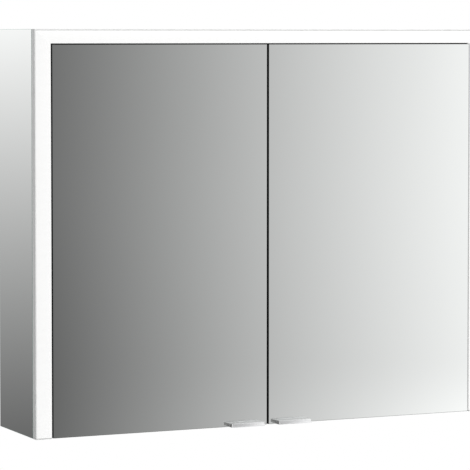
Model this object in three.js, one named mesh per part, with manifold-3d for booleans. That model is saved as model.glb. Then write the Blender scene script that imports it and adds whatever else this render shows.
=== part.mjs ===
import * as THREE from 'three';
import { mergeVertices } from 'three/addons/utils/BufferGeometryUtils.js';
import Module from 'manifold-3d';

// A wall-hung bathroom mirror cabinet: two inset mirror doors inside a lit opal band that runs
// up both sides and along the top. Millimetres, +Z up. X runs across the front, the doors face
// -Y and the wall is the plane y = 0. The origin is at the middle of the wall rail's rear face.

// ---- Driving dimensions -------------------------------------------------------------------

// Whole cabinet, without the handles.
const cabinetWidth = 800;
const cabinetHeight = 640;
const cabinetDepth = 165;

// Clearances.
const seat = 0.3; // between pieces that rest on or are bonded to each other
const bond = 0.1; // glue line under small stuck-on pieces
const pinClearance = 0.3; // radial, around a hinge pin or shelf pin
const sweepClearance = 0.8; // between the swinging door edge and anything fixed

// Case panels.
const sideMirrorThickness = 4;
const sidePanelThickness = 18;
const topPanelThickness = 16;
const bottomPanelThickness = 16;
const rearPanelThickness = 4;
const rearMirrorThickness = 3;
const wallRecess = 14; // from the wall to the back of the rear panel

// Front frame profile and its light band.
const frameDepth = 13;
const sideBandWidth = 27;
const topBandWidth = 22.3;
const frameLip = 1.6;
const frameWeb = 2.2;
const frameInnerWall = 1.5;
const diffuserThickness = 2.7;
const diffuserLeg = { thickness: 1.5, depth: 9 }; // its return along the band's inner edge
const endCapThickness = 1.5;
const ledStripWidth = 10;
const ledStripThickness = 1.4;
const ledStripInset = 8;

// Doors.
const doorSideGap = 2;
const doorTopGap = 1.6;
const doorCentreGap = 3;
const doorLift = 0.5;
const doorFrontGlass = 4;
const doorCoreThickness = 5;
const doorBackGlass = 3;
const glassArris = 0.4;
const bumperRadius = 4;
const bumperThickness = 1.3;
const bumperOffset = 24;

// Tab handles.
const handleLength = 58.6;
const handleReach = 16.5;
const handleThickness = 6.3;
const handleFromDoorEdge = 11;
const handleLift = 0.6; // above the door's bottom edge
const handleCornerRadius = 1.2;
const handleEdge = 0.5;

// Hinges, two on each door. The pin stands inside the door's thickness.
const hingeFromDoorEnd = 97.5; // from the door's lower and upper edges to a hinge's middle
const pivotInset = 20; // from the door's outer edge
const pivotDepth = 7; // from the door's front face
const hingePinRadius = 1.5;
const hingeEyeWall = 0.8;
const hingeArmThickness = 2;
const hingeArmHeight = 20;
const hingeArmLean = 4.5; // how far the gooseneck stands inward of the pin
const hingeFootLength = 34;
const hingeCupWall = 2;
const hingeCupReach = 10;
const hingeCupSpace = 2; // above and below the arm

// Shelves and their pins.
const shelfHeights = { lower: 237, upper: 448 };
const shelfThickness = 6;
const shelfDoorGap = 1; // behind the sweep of the opening doors' edges
const shelfRearGap = 1.5;
const shelfEndGap = 1;
const shelfPinRadius = 2.5;
const shelfPinDepth = 9; // into the side panel
const shelfPinReach = 9; // under the shelf
const shelfPinHead = 3.6; // radius of the part under the shelf
const shelfPinInset = 22; // from the shelf's front and rear edges

// Electrical housing under the top panel, with driver, terminals, cable gland and rocker switch.
const housingLength = 240;
const housingDepth = 66;
const housingHeight = 30;
const housingWall = 2;
const driverSize = { x: 132, y: 38, z: 19 };
const driverOffset = -42;
const terminalSize = { x: 34, y: 18, z: 14 };
const terminalOffset = 62;
const glandRadius = 7;
const glandFlange = 10;
const glandFlangeThickness = 1.6;
const glandBore = 4;
const glandOffset = 96;
const switchOffset = 78;
const switchFlange = { x: 31, z: 15.5, y: 1.5 };
const switchBody = { x: 27, z: 12.6, y: 14 };
const switchWell = { x: 23.6, z: 10, y: 6 };
const rockerLength = 22.2;
const rockerHeight = 9.2;
const rockerTilt = 10; // degrees either side of level; it rests tilted
const rockerRise = 2; // how far its two ends stand in front of the pivot line
const rockerDish = 0.9; // the same for the middle of its dished face
const rockerSkirt = 1.5; // how far its ends reach behind the pivot line
const rockerTaper = 0.4; // how much shorter each end is at the back of the skirt
const rockerKeel = { x: 6, y: 4.5 }; // the blunt nose behind it

// Hanging gear: a joggled rail on the wall and two hooks on the rear panel.
const railHeight = 560; // of the rail's middle, above the cabinet's bottom edge
const railLength = 640;
const railSheet = 2;
const railFoot = 20; // flat part below the middle
const railFlat = 8; // flat part above the middle
const railJoggle = 5.5;
const railUpstand = 14;
const hangerWidth = 50;
const hangerOffset = 270;
const hangerSheet = 2;
const hangerTail = 26;
const hangerLip = 10;

const roundSegments = 20;
const drillLength = 60; // longer than anything a round hole passes through

// ---- Derived places -----------------------------------------------------------------------

const halfWidth = cabinetWidth / 2;
const frontY = -cabinetDepth;
const caseFrontY = frontY + frameDepth + seat;
const panelOuterX = halfWidth - sideMirrorThickness - seat;
const panelInnerX = panelOuterX - sidePanelThickness;
const ceilingZ = cabinetHeight - topPanelThickness;
const rearPanelBackY = -wallRecess;
const rearPanelFrontY = rearPanelBackY - rearPanelThickness;
const rearMirrorFrontY = rearPanelFrontY - seat - rearMirrorThickness;

const doorThickness = doorFrontGlass + doorCoreThickness + doorBackGlass + 2 * bond;
const doorBackY = frontY + doorThickness;
const doorOuterX = halfWidth - sideBandWidth - doorSideGap;
const doorInnerX = doorCentreGap / 2;
const doorTopZ = cabinetHeight - topBandWidth - doorTopGap;
const bottomFrontY = doorBackY + bumperThickness + 2 * bond;

const pivotX = doorOuterX - pivotInset;
const pivotY = frontY + pivotDepth;
const hingeHeights = { lower: doorLift + hingeFromDoorEnd, upper: doorTopZ - hingeFromDoorEnd };
const doorSweep = Math.hypot(pivotInset, Math.max(pivotDepth, doorThickness - pivotDepth)) + sweepClearance;
const pinHoleRadius = hingePinRadius + pinClearance;
const hingeEyeRadius = pinHoleRadius + hingeEyeWall;
const hingeCupHalf = hingeArmHeight / 2 + hingeCupSpace + hingeCupWall;

const shelfEndX = panelInnerX - shelfEndGap;
const shelfFrontY = pivotY + doorSweep + shelfDoorGap;
const shelfRearY = rearMirrorFrontY - shelfRearGap;
const shelfPinRows = [shelfFrontY + shelfPinInset, shelfRearY - shelfPinInset];

const housingBottomZ = ceilingZ - seat - housingHeight;
const housingRearY = rearPanelFrontY - seat;
const housingFrontY = housingRearY - housingDepth;
const housingMiddleZ = housingBottomZ + housingHeight / 2;

const sides = [{ label: 'left', sign: -1 }, { label: 'right', sign: 1 }];
const cabinet = new THREE.Group();
cabinet.position.z = -railHeight;

// ---- Materials ----------------------------------------------------------------------------

function surface(color, roughness, metalness, extra = {}) {
  return new THREE.MeshStandardMaterial({ color, roughness, metalness, ...extra });
}

const mirror = surface(0xdfe6e4, 0.03, 1);
const glass = surface(0xd6ebe4, 0.05, 0, { transparent: true, opacity: 0.4 });
const satinAluminium = surface(0xb9bbb9, 0.35, 1);
const whitePanel = surface(0xe9eae8, 0.5, 0);
const doorCore = surface(0x9ea09f, 0.6, 0.2);
const opal = surface(0xfafaf6, 0.4, 0);
const circuitWhite = surface(0xf2f2ea, 0.5, 0);
const whitePlastic = surface(0xeeeeea, 0.4, 0);
const greyPlastic = surface(0x8c8f90, 0.5, 0);
const blackPlastic = surface(0x1c1d1f, 0.4, 0);
const zincSteel = surface(0xa7a9ab, 0.4, 1);
const nickelSteel = surface(0xc4c4c0, 0.25, 1);
const clearRubber = surface(0xe4e6e4, 0.6, 0);

// ---- Geometry helpers ---------------------------------------------------------------------

const wasm = await Module();
wasm.setup();

// Keeps only the positions, with shared corners merged.
function bare(geometry) {
  const copy = geometry.clone();
  copy.deleteAttribute('normal');
  copy.deleteAttribute('uv');
  return mergeVertices(copy, 1e-4);
}

// Turns every face round if the closed surface is inside out.
function facingOut(geometry) {
  const at = geometry.attributes.position;
  const index = geometry.index;
  const corners = [new THREE.Vector3(), new THREE.Vector3(), new THREE.Vector3()];
  let volume = 0;
  for (let i = 0; i < index.count; i += 3) {
    corners.forEach((corner, k) => corner.fromBufferAttribute(at, index.getX(i + k)));
    volume += corners[0].dot(corners[1].cross(corners[2]));
  }
  if (volume < 0) {
    for (let i = 0; i < index.count; i += 3) {
      const kept = index.getX(i + 1);
      index.setX(i + 1, index.getX(i + 2));
      index.setX(i + 2, kept);
    }
  }
  return geometry;
}

// Extrudes an outline of [a, b] points, then puts each point (a, b, t) where place says.
function prism(outline, length, place, options = {}) {
  const shape = new THREE.Shape(outline.map(([a, b]) => new THREE.Vector2(a, b)));
  const raw = new THREE.ExtrudeGeometry(shape, { depth: length, bevelEnabled: false, ...options });
  const geometry = bare(raw);
  const at = geometry.attributes.position;
  for (let i = 0; i < at.count; i += 1) {
    at.setXYZ(i, ...place(at.getX(i), at.getY(i), at.getZ(i)));
  }
  return facingOut(geometry);
}

function block([x0, x1], [y0, y1], [z0, z1]) {
  const geometry = new THREE.BoxGeometry(Math.abs(x1 - x0), y1 - y0, z1 - z0);
  return bare(geometry.translate((x0 + x1) / 2, (y0 + y1) / 2, (z0 + z1) / 2));
}

function rod(radius, length, centre, axis) {
  const geometry = new THREE.CylinderGeometry(radius, radius, length, roundSegments);
  if (axis === 'x') geometry.rotateZ(Math.PI / 2);
  if (axis === 'z') geometry.rotateX(Math.PI / 2);
  return bare(geometry.translate(...centre));
}

// A body turned from [radius, height] points, closed on itself or on the axis.
function turned(profile, place) {
  const points = profile.map(([radius, height]) => new THREE.Vector2(radius, height));
  const geometry = bare(new THREE.LatheGeometry(points, roundSegments));
  const at = geometry.attributes.position;
  for (let i = 0; i < at.count; i += 1) {
    at.setXYZ(i, ...place(at.getX(i), at.getY(i), at.getZ(i)));
  }
  return facingOut(geometry);
}

// The outline of bent sheet metal: a path of [a, b] points, thickened to both sides.
function ribbon(path, thickness) {
  const points = path.map(([a, b]) => new THREE.Vector2(a, b));
  const heading = (from, to) => to.clone().sub(from).normalize();
  const oneSide = [];
  const otherSide = [];
  points.forEach((point, i) => {
    const last = points.length - 1;
    const before = heading(points[Math.max(i - 1, 0)], points[Math.max(i, 1)]);
    const after = heading(points[Math.min(i, last - 1)], points[Math.min(i + 1, last)]);
    const middle = before.clone().add(after).normalize();
    const reach = thickness / 2 / middle.dot(before);
    oneSide.push([point.x - middle.y * reach, point.y + middle.x * reach]);
    otherSide.unshift([point.x + middle.y * reach, point.y - middle.x * reach]);
  });
  return [...oneSide, ...otherSide];
}

function solidOf(geometry) {
  const at = bare(geometry);
  return new wasm.Manifold(new wasm.Mesh({
    numProp: 3,
    vertProperties: new Float32Array(at.attributes.position.array),
    triVerts: new Uint32Array(at.index.array),
  }));
}

function geometryOf(solid) {
  const mesh = solid.getMesh();
  const geometry = new THREE.BufferGeometry();
  geometry.setAttribute('position', new THREE.BufferAttribute(mesh.vertProperties, 3));
  geometry.setIndex(new THREE.BufferAttribute(mesh.triVerts, 1));
  return geometry;
}

function joined(...pieces) {
  return geometryOf(pieces.map(solidOf).reduce((whole, piece) => whole.add(piece)));
}

function cut(piece, ...cutters) {
  return geometryOf(cutters.map(solidOf).reduce((rest, cutter) => rest.subtract(cutter), solidOf(piece)));
}

function add(name, geometry, material) {
  geometry.computeVertexNormals();
  const mesh = new THREE.Mesh(geometry, material.clone());
  mesh.name = name;
  cabinet.add(mesh);
}

// A prism whose two end faces are bevelled, with the bevels inside its outline and thickness.
function bevelled(outline, thickness, bevel, place) {
  const options = {
    bevelEnabled: true,
    bevelSegments: 1,
    bevelSize: bevel,
    bevelThickness: bevel,
    bevelOffset: -bevel,
  };
  return prism(outline, thickness - 2 * bevel, (a, b, t) => place(a, b, bevel + t), options);
}

// A pane of glass with ground edges, standing in the XZ plane between two depths.
function standingPane(outline, y0, y1) {
  return bevelled(outline, y1 - y0, glassArris, (x, z, t) => [x, y0 + t, z]);
}

function rectangle(x0, x1, z0, z1) {
  return [[x0, z0], [x1, z0], [x1, z1], [x0, z1]];
}

// ---- Case ---------------------------------------------------------------------------------

function shelfPinPlaces() {
  const places = [];
  for (const [level, height] of Object.entries(shelfHeights)) {
    shelfPinRows.forEach((y, row) => {
      places.push({ level, row: row === 0 ? 'front' : 'rear', y, z: height - seat - shelfPinHead });
    });
  }
  return places;
}

function addCaseSides() {
  for (const { label, sign } of sides) {
    const panel = block([sign * panelInnerX, sign * panelOuterX], [caseFrontY, 0], [0, cabinetHeight]);
    const holeDepth = shelfPinDepth + pinClearance;
    const holes = shelfPinPlaces().map(({ y, z }) => rod(
      shelfPinRadius + pinClearance, 2 * holeDepth, [sign * panelInnerX, y, z], 'x'));
    add(`side_panel_${label}`, cut(panel, ...holes), whitePanel);
    const outline = rectangle(caseFrontY, 0, 0, cabinetHeight);
    const pane = bevelled(outline, sideMirrorThickness, glassArris, (y, z, t) => [
      sign * (halfWidth - t), y, z]);
    add(`side_mirror_${label}`, pane, mirror);
  }
}

function addTopAndBottom() {
  const reach = panelInnerX - seat;
  add('top_panel', block([-reach, reach], [caseFrontY, 0], [ceilingZ, cabinetHeight]), whitePanel);
  const notchX = pivotX - doorSweep;
  const notchY = pivotY + doorSweep;
  const outline = [[-reach, notchY], [-notchX, notchY], [-notchX, bottomFrontY], [notchX, bottomFrontY],
    [notchX, notchY], [reach, notchY], [reach, 0], [-reach, 0]];
  add('bottom_panel', prism(outline, bottomPanelThickness, (x, y, t) => [x, y, t]), whitePanel);
}

function addRear() {
  const reach = panelInnerX - seat;
  const low = bottomPanelThickness + seat;
  const panel = block([-reach, reach], [rearPanelBackY - rearPanelThickness, rearPanelBackY],
    [low, ceilingZ - seat]);
  const cableHole = rod(glandRadius + pinClearance, drillLength,
    [glandOffset, rearPanelFrontY, housingMiddleZ], 'y');
  add('rear_panel', cut(panel, cableHole), whitePanel);
  add('rear_mirror', standingPane(rectangle(-reach, reach, low, housingBottomZ - seat),
    rearMirrorFrontY, rearMirrorFrontY + rearMirrorThickness), mirror);
}

// ---- Front frame and light band -----------------------------------------------------------

// How far the profile's inner wall stands back from the band's inner edge, behind the diffuser's leg.
const wallInset = diffuserLeg.thickness + seat;

// Sections of the frame profile: u runs inward from the outer face, v back from the front.
function profileSection(band) {
  const webV = frameDepth - frameWeb;
  const ledge = diffuserThickness + seat;
  const wall = band - wallInset;
  const shelf = diffuserLeg.depth + seat;
  return [[0, 0], [frameLip, 0], [frameLip, webV], [wall - frameInnerWall, webV],
    [wall - frameInnerWall, ledge], [wall, ledge], [wall, shelf], [band, shelf], [band, frameDepth],
    [0, frameDepth]];
}

function diffuserSection(band) {
  const lip = frameLip + seat;
  const leg = band - diffuserLeg.thickness;
  return [[lip, 0], [band, 0], [band, diffuserLeg.depth], [leg, diffuserLeg.depth],
    [leg, diffuserThickness], [lip, diffuserThickness]];
}

// A bar up one side, mitred at the top corner.
function sideBar(section, sign) {
  const foot = endCapThickness + seat;
  const slope = topBandWidth / sideBandWidth;
  return prism(section, 1, (u, v, t) => {
    const head = cabinetHeight - u * slope - seat / 2;
    return [sign * (halfWidth - u), frontY + v, foot + t * (head - foot)];
  });
}

// A bar along the top, mitred at both ends.
function topBar(section) {
  const slope = sideBandWidth / topBandWidth;
  return prism(section, 1, (u, v, t) => {
    const reach = halfWidth - u * slope - seat / 2;
    return [(2 * t - 1) * reach, frontY + v, cabinetHeight - u];
  });
}

function addFrame() {
  const stripY = frontY + frameDepth - frameWeb - bond - ledStripThickness;
  const stripRange = [stripY, stripY + ledStripThickness];
  for (const { label, sign } of sides) {
    add(`frame_${label}`, sideBar(profileSection(sideBandWidth), sign), satinAluminium);
    add(`diffuser_${label}`, sideBar(diffuserSection(sideBandWidth), sign), opal);
    const cap = block([sign * (halfWidth - sideBandWidth), sign * halfWidth],
      [frontY, frontY + frameDepth], [0, endCapThickness]);
    add(`end_cap_${label}`, cap, satinAluminium);
    const middle = halfWidth - (frameLip + sideBandWidth - wallInset - frameInnerWall) / 2;
    const strip = block([sign * (middle - ledStripWidth / 2), sign * (middle + ledStripWidth / 2)], stripRange,
      [endCapThickness + ledStripInset, cabinetHeight - topBandWidth - ledStripInset]);
    add(`led_strip_${label}`, strip, circuitWhite);
  }
  add('frame_top', topBar(profileSection(topBandWidth)), satinAluminium);
  add('diffuser_top', topBar(diffuserSection(topBandWidth)), opal);
  const reach = halfWidth - sideBandWidth - ledStripInset;
  const middle = cabinetHeight - (frameLip + topBandWidth - wallInset - frameInnerWall) / 2;
  add('led_strip_top', block([-reach, reach], stripRange,
    [middle - ledStripWidth / 2, middle + ledStripWidth / 2]), circuitWhite);
}

// ---- Doors --------------------------------------------------------------------------------

// The door's outline with a notch at its outer edge for each hinge cup.
function notchedOutline(sign) {
  const notchX = pivotX - hingeCupReach - seat;
  const half = hingeCupHalf + seat;
  const outline = [[sign * doorInnerX, doorLift], [sign * doorOuterX, doorLift]];
  for (const height of Object.values(hingeHeights)) {
    outline.push([sign * doorOuterX, height - half], [sign * notchX, height - half]);
    outline.push([sign * notchX, height + half], [sign * doorOuterX, height + half]);
  }
  outline.push([sign * doorOuterX, doorTopZ], [sign * doorInnerX, doorTopZ]);
  return outline;
}

function addHandle(label, sign) {
  const near = doorInnerX + handleFromDoorEdge;
  const far = near + handleLength;
  const tip = frontY - handleReach;
  const root = frontY - bond;
  const c = handleCornerRadius;
  const outline = [[near, root], [near, tip + c], [near + c, tip], [far - c, tip], [far, tip + c], [far, root]];
  const geometry = bevelled(outline, handleThickness, handleEdge, (x, y, t) => [
    sign * x, y, doorLift + handleLift + t]);
  add(`handle_${label}`, geometry, satinAluminium);
}

function addDoors() {
  const coreY = frontY + doorFrontGlass + bond;
  const backY = coreY + doorCoreThickness + bond;
  for (const { label, sign } of sides) {
    const whole = rectangle(sign * doorInnerX, sign * doorOuterX, doorLift, doorTopZ);
    add(`door_mirror_front_${label}`, standingPane(whole, frontY, frontY + doorFrontGlass), mirror);
    const core = prism(notchedOutline(sign), doorCoreThickness, (x, z, t) => [x, coreY + t, z]);
    add(`door_core_${label}`, core, doorCore);
    const back = standingPane(notchedOutline(sign), backY, backY + doorBackGlass);
    add(`door_mirror_back_${label}`, back, mirror);
    addHandle(label, sign);
    const bumper = rod(bumperRadius, bumperThickness,
      [sign * bumperOffset, bottomFrontY - bond - bumperThickness / 2, bottomPanelThickness / 2], 'y');
    add(`bumper_${label}`, bumper, clearRubber);
  }
}

// ---- Hinges -------------------------------------------------------------------------------

// The arm is bent sheet in plan: an eye round the pin, a gooseneck that the door's edge swings
// round, and a foot along the side panel. p runs inward from the pin and q back from it.
function hingeArm(sign, height) {
  const wallP = pivotX - panelInnerX + seat + hingeArmThickness / 2;
  const legQ = doorSweep + hingeArmThickness / 2;
  const path = [[0, 0], [hingeArmLean, hingeArmLean * Math.sqrt(3)], [hingeArmLean, legQ], [wallP, legQ],
    [wallP, legQ + hingeFootLength]];
  const sheet = prism(ribbon(path, hingeArmThickness), hingeArmHeight, (p, q, t) => [
    sign * (pivotX - p), pivotY + q, height - hingeArmHeight / 2 + t]);
  const centre = [sign * pivotX, pivotY, height];
  const eye = rod(hingeEyeRadius, hingeArmHeight, centre, 'z');
  const bore = rod(pinHoleRadius, drillLength, centre, 'z');
  return cut(joined(sheet, eye), bore);
}

// The cup lines the notch in the door: two cheeks that hold the pin, and a wall between them.
function hingeCup(sign, height) {
  const open = -pivotInset + glassArris;
  const inner = hingeCupReach - hingeCupWall;
  const clear = hingeCupHalf - hingeCupWall;
  const outline = [[open, -hingeCupHalf], [hingeCupReach, -hingeCupHalf], [hingeCupReach, hingeCupHalf],
    [open, hingeCupHalf], [open, clear], [inner, clear], [inner, -clear], [open, -clear]];
  const near = frontY + doorFrontGlass + seat;
  const body = prism(outline, doorBackY - near, (p, z, t) => [sign * (pivotX - p), near + t, height + z]);
  return cut(body, rod(pinHoleRadius, drillLength, [sign * pivotX, pivotY, height], 'z'));
}

function addHinges() {
  for (const { label, sign } of sides) {
    for (const [level, height] of Object.entries(hingeHeights)) {
      add(`hinge_arm_${label}_${level}`, hingeArm(sign, height), nickelSteel);
      add(`hinge_cup_${label}_${level}`, hingeCup(sign, height), nickelSteel);
      const pin = rod(hingePinRadius, 2 * hingeCupHalf - seat, [sign * pivotX, pivotY, height], 'z');
      add(`hinge_pin_${label}_${level}`, pin, zincSteel);
    }
  }
}

// ---- Shelves ------------------------------------------------------------------------------

function addShelves() {
  for (const [level, height] of Object.entries(shelfHeights)) {
    const outline = rectangle(-shelfEndX, shelfEndX, shelfFrontY, shelfRearY);
    const pane = bevelled(outline, shelfThickness, glassArris, (x, y, t) => [x, y, height + t]);
    add(`shelf_${level}`, pane, glass);
  }
  for (const { label, sign } of sides) {
    for (const { level, row, y, z } of shelfPinPlaces()) {
      const profile = [[0, -shelfPinDepth], [shelfPinRadius, -shelfPinDepth], [shelfPinRadius, seat],
        [shelfPinHead, seat], [shelfPinHead, shelfPinReach], [0, shelfPinReach]];
      const pin = turned(profile, (a, t, c) => [sign * (panelInnerX - t), y + a, z + c]);
      add(`shelf_pin_${level}_${row}_${label}`, pin, nickelSteel);
    }
  }
}

// ---- Electrical housing -------------------------------------------------------------------

function addHousing() {
  const half = housingLength / 2;
  const top = housingBottomZ + housingHeight;
  const outer = block([-half, half], [housingFrontY, housingRearY], [housingBottomZ, top]);
  const hollow = block([-half + housingWall, half - housingWall],
    [housingFrontY + housingWall, housingRearY - housingWall],
    [housingBottomZ + housingWall, top + housingWall]);
  const window = block([switchOffset - switchBody.x / 2 - seat, switchOffset + switchBody.x / 2 + seat],
    [housingFrontY - housingWall, housingFrontY + 2 * housingWall],
    [housingMiddleZ - switchBody.z / 2 - seat, housingMiddleZ + switchBody.z / 2 + seat]);
  const cableHole = rod(glandRadius + pinClearance, drillLength,
    [glandOffset, housingRearY, housingMiddleZ], 'y');
  add('driver_housing', cut(outer, hollow, window, cableHole), whitePlastic);

  const floor = housingBottomZ + housingWall + seat;
  const rear = housingRearY - housingWall - seat;
  add('led_driver', block([driverOffset - driverSize.x / 2, driverOffset + driverSize.x / 2],
    [rear - driverSize.y, rear], [floor, floor + driverSize.z]), greyPlastic);
  add('terminal_block', block([terminalOffset - terminalSize.x / 2, terminalOffset + terminalSize.x / 2],
    [rear - terminalSize.y, rear], [floor, floor + terminalSize.z]), whitePlastic);

  const inside = housingRearY - housingWall - seat - glandFlangeThickness;
  const outside = rearPanelBackY + glandFlangeThickness;
  const gland = turned([[glandBore, 0], [glandFlange, 0], [glandFlange, glandFlangeThickness],
    [glandRadius, glandFlangeThickness], [glandRadius, outside - inside], [glandBore, outside - inside],
    [glandBore, 0]], (a, t, c) => [glandOffset + a, inside + t, housingMiddleZ + c]);
  add('cable_gland', gland, greyPlastic);
}

function addSwitch() {
  const x = switchOffset;
  const z = housingMiddleZ;
  const flangeBack = housingFrontY - seat;
  const flangeFront = flangeBack - switchFlange.y;
  const centred = (middle, size) => [middle - size / 2, middle + size / 2];
  const flange = block(centred(x, switchFlange.x), [flangeFront, flangeBack], centred(z, switchFlange.z));
  const body = block(centred(x, switchBody.x), [flangeFront + switchFlange.y / 2, flangeBack + switchBody.y],
    centred(z, switchBody.z));
  const well = block(centred(x, switchWell.x), [flangeFront - switchFlange.y, flangeFront + switchWell.y],
    centred(z, switchWell.z));
  add('switch_body', cut(joined(flange, body), well), blackPlastic);

  const end = rockerLength / 2;
  const back = end - rockerTaper;
  const nose = rockerKeel.x / 2;
  const outline = [[-end, -rockerRise], [0, -rockerDish], [end, -rockerRise], [back, rockerSkirt],
    [nose, rockerKeel.y], [-nose, rockerKeel.y], [-back, rockerSkirt]];
  const rocker = prism(outline, rockerHeight, (a, b, t) => [a, b, t - rockerHeight / 2]);
  rocker.rotateZ(THREE.MathUtils.degToRad(rockerTilt));
  add('switch_rocker', rocker.translate(x, flangeFront, z), whitePlastic);
}

// ---- Hanging gear -------------------------------------------------------------------------

function addHangingGear() {
  const back = -railSheet / 2;
  const forward = back - railJoggle;
  const top = railFlat + railJoggle + railUpstand;
  const rail = ribbon([[back, -railFoot], [back, railFlat], [forward, railFlat + railJoggle], [forward, top]],
    railSheet);
  add('wall_rail', prism(rail, railLength, (y, z, t) => [
    t - railLength / 2, y, railHeight + z]), zincSteel);

  const plateY = rearPanelBackY + seat + hangerSheet / 2;
  const lipY = forward + railSheet / 2 + seat + hangerSheet / 2;
  const webZ = top + seat + hangerSheet / 2;
  const hook = ribbon([[plateY, -hangerTail], [plateY, webZ], [lipY, webZ], [lipY, webZ - hangerLip]],
    hangerSheet);
  for (const { label, sign } of sides) {
    const start = sign * hangerOffset - hangerWidth / 2;
    add(`hanger_${label}`, prism(hook, hangerWidth, (y, z, t) => [
      start + t, y, railHeight + z]), zincSteel);
  }
}

addCaseSides();
addTopAndBottom();
addRear();
addFrame();
addDoors();
addHinges();
addShelves();
addHousing();
addSwitch();
addHangingGear();

export default cabinet;
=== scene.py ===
"""Looks of a wall-hung mirror cabinet: two mirror doors inside a lit opal band, glass shelves within.

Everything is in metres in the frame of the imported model. X runs across the front, the doors face
-Y and the wall is the plane y = 0. New pieces are surfaces worked out as numpy arrays from the
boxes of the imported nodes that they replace.
"""

import logging
import math
from dataclasses import dataclass, field
from enum import Enum
from typing import Any, Mapping, Optional, Sequence

import bpy
import numpy as np
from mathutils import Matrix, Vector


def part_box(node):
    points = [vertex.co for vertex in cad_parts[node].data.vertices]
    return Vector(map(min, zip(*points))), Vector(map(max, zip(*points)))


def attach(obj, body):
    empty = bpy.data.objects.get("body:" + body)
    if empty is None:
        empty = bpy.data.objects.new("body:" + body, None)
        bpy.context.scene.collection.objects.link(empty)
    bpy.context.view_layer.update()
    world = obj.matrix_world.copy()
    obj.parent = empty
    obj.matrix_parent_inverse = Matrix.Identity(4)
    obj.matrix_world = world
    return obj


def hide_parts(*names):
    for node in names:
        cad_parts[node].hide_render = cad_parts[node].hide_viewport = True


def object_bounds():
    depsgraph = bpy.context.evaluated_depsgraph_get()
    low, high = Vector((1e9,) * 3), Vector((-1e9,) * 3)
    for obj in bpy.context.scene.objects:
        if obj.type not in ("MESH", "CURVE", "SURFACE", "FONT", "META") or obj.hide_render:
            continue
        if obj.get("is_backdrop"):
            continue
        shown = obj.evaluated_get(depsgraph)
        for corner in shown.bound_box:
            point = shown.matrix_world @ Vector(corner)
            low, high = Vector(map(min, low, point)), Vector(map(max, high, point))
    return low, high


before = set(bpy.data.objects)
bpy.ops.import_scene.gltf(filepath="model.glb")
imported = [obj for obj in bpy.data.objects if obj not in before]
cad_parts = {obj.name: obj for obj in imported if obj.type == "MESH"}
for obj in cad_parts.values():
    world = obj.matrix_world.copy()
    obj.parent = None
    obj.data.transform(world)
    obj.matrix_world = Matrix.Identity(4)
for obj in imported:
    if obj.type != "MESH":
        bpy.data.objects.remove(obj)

Array = np.ndarray
LOG = logging.getLogger("mirror_cabinet")
FACING = 0.9  # a face looks along an axis when its normal leans that way by more than this
CREASE = 32.0  # edges that turn by more than this many degrees stay sharp
MIRROR_CORNER = 0.0008
GLASS_BEVEL = 0.0005
FINE_EDGE = 0.0001
SOFT_EDGE = 0.0002


# ---- Numbers and frames ----------------------------------------------------------------------


class Side(Enum):
    """Which side of the cabinet a piece belongs to, seen from the front."""

    LEFT = "left"
    RIGHT = "right"

    @property
    def sign(self) -> float:
        """The direction from the middle to this side along X."""
        return -1.0 if self is Side.LEFT else 1.0


class Level(Enum):
    """The lower or upper one of a pair of like pieces."""

    LOWER = "lower"
    UPPER = "upper"


class Axis(Enum):
    """A direction of the frame."""

    X = 0
    Y = 1
    Z = 2


@dataclass(frozen=True)
class Box:
    """A node's lowest and highest corners at rest."""

    low: Array
    high: Array

    @classmethod
    def of(cls, node: str) -> "Box":
        """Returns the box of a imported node."""
        low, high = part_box(node)
        return cls(np.array(low, dtype=float), np.array(high, dtype=float))

    @property
    def size(self) -> Array:
        """The box's three side lengths."""
        return self.high - self.low

    @property
    def middle(self) -> Array:
        """The box's centre."""
        return (self.high + self.low) / 2

    def outline(self, axis: Axis) -> Array:
        """The box seen along an axis, as a rectangle on the other two."""
        a, b = (other.value for other in Axis if other != axis)
        return rectangle(self.low[a], self.high[a], self.low[b], self.high[b])

    def edge(self, sign: float) -> float:
        """The box's lower end in x for a negative sign, its upper end for a positive one."""
        return float(self.low[0] if sign < 0 else self.high[0])


@dataclass(frozen=True)
class Place:
    """Carries outline coordinates (a, b) and a height c into the frame.

    A point is origin + a * along + b * across + c * rise.
    """

    origin: Sequence[float]
    along: Sequence[float]
    across: Sequence[float]
    rise: Sequence[float]

    def points(self, outline: Array, height: Any) -> Array:
        """Places an outline.

        Args:
            outline: points (a, b), shape (..., 2).
            height: the height c, one number or an array that matches the outline.

        Returns:
            Points in the frame, shape (..., 3).
        """
        a, b = outline[..., 0:1], outline[..., 1:2]
        c = np.broadcast_to(np.asarray(height, dtype=float), outline.shape[:-1])[..., None]
        return (np.asarray(self.origin, dtype=float) + a * np.asarray(self.along, dtype=float)
                + b * np.asarray(self.across, dtype=float) + c * np.asarray(self.rise, dtype=float))


def rising(spot: Sequence[float], axis: Axis, sense: float = 1.0) -> Place:
    """A place at a point whose height runs along one axis; the outline lies on the other two."""
    along, across = (row for row in np.eye(3)[[other != axis for other in Axis]])
    return Place(spot, along, across, np.eye(3)[axis.value] * sense)


def facing_front(y: float) -> Place:
    """Outline (x, z) in the plane at depth y, rising towards the wall."""
    return rising((0, y, 0), Axis.Y)


def facing_side(x: float, sign: float) -> Place:
    """Outline (y, z) in the plane at x, rising away from the given side."""
    return rising((x, 0, 0), Axis.X, -sign)


def lying(z: float) -> Place:
    """Outline (x, y) in the level plane at z, rising upwards."""
    return rising((0, 0, z), Axis.Z)


def row_of(count: int, pitch: float, axis: Axis) -> Array:
    """Shifts of a row of copies: (k - (count - 1) / 2) * pitch along the axis."""
    return ((np.arange(count) - (count - 1) / 2) * pitch)[:, None] * np.eye(3)[axis.value]


# ---- Outlines --------------------------------------------------------------------------------


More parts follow.
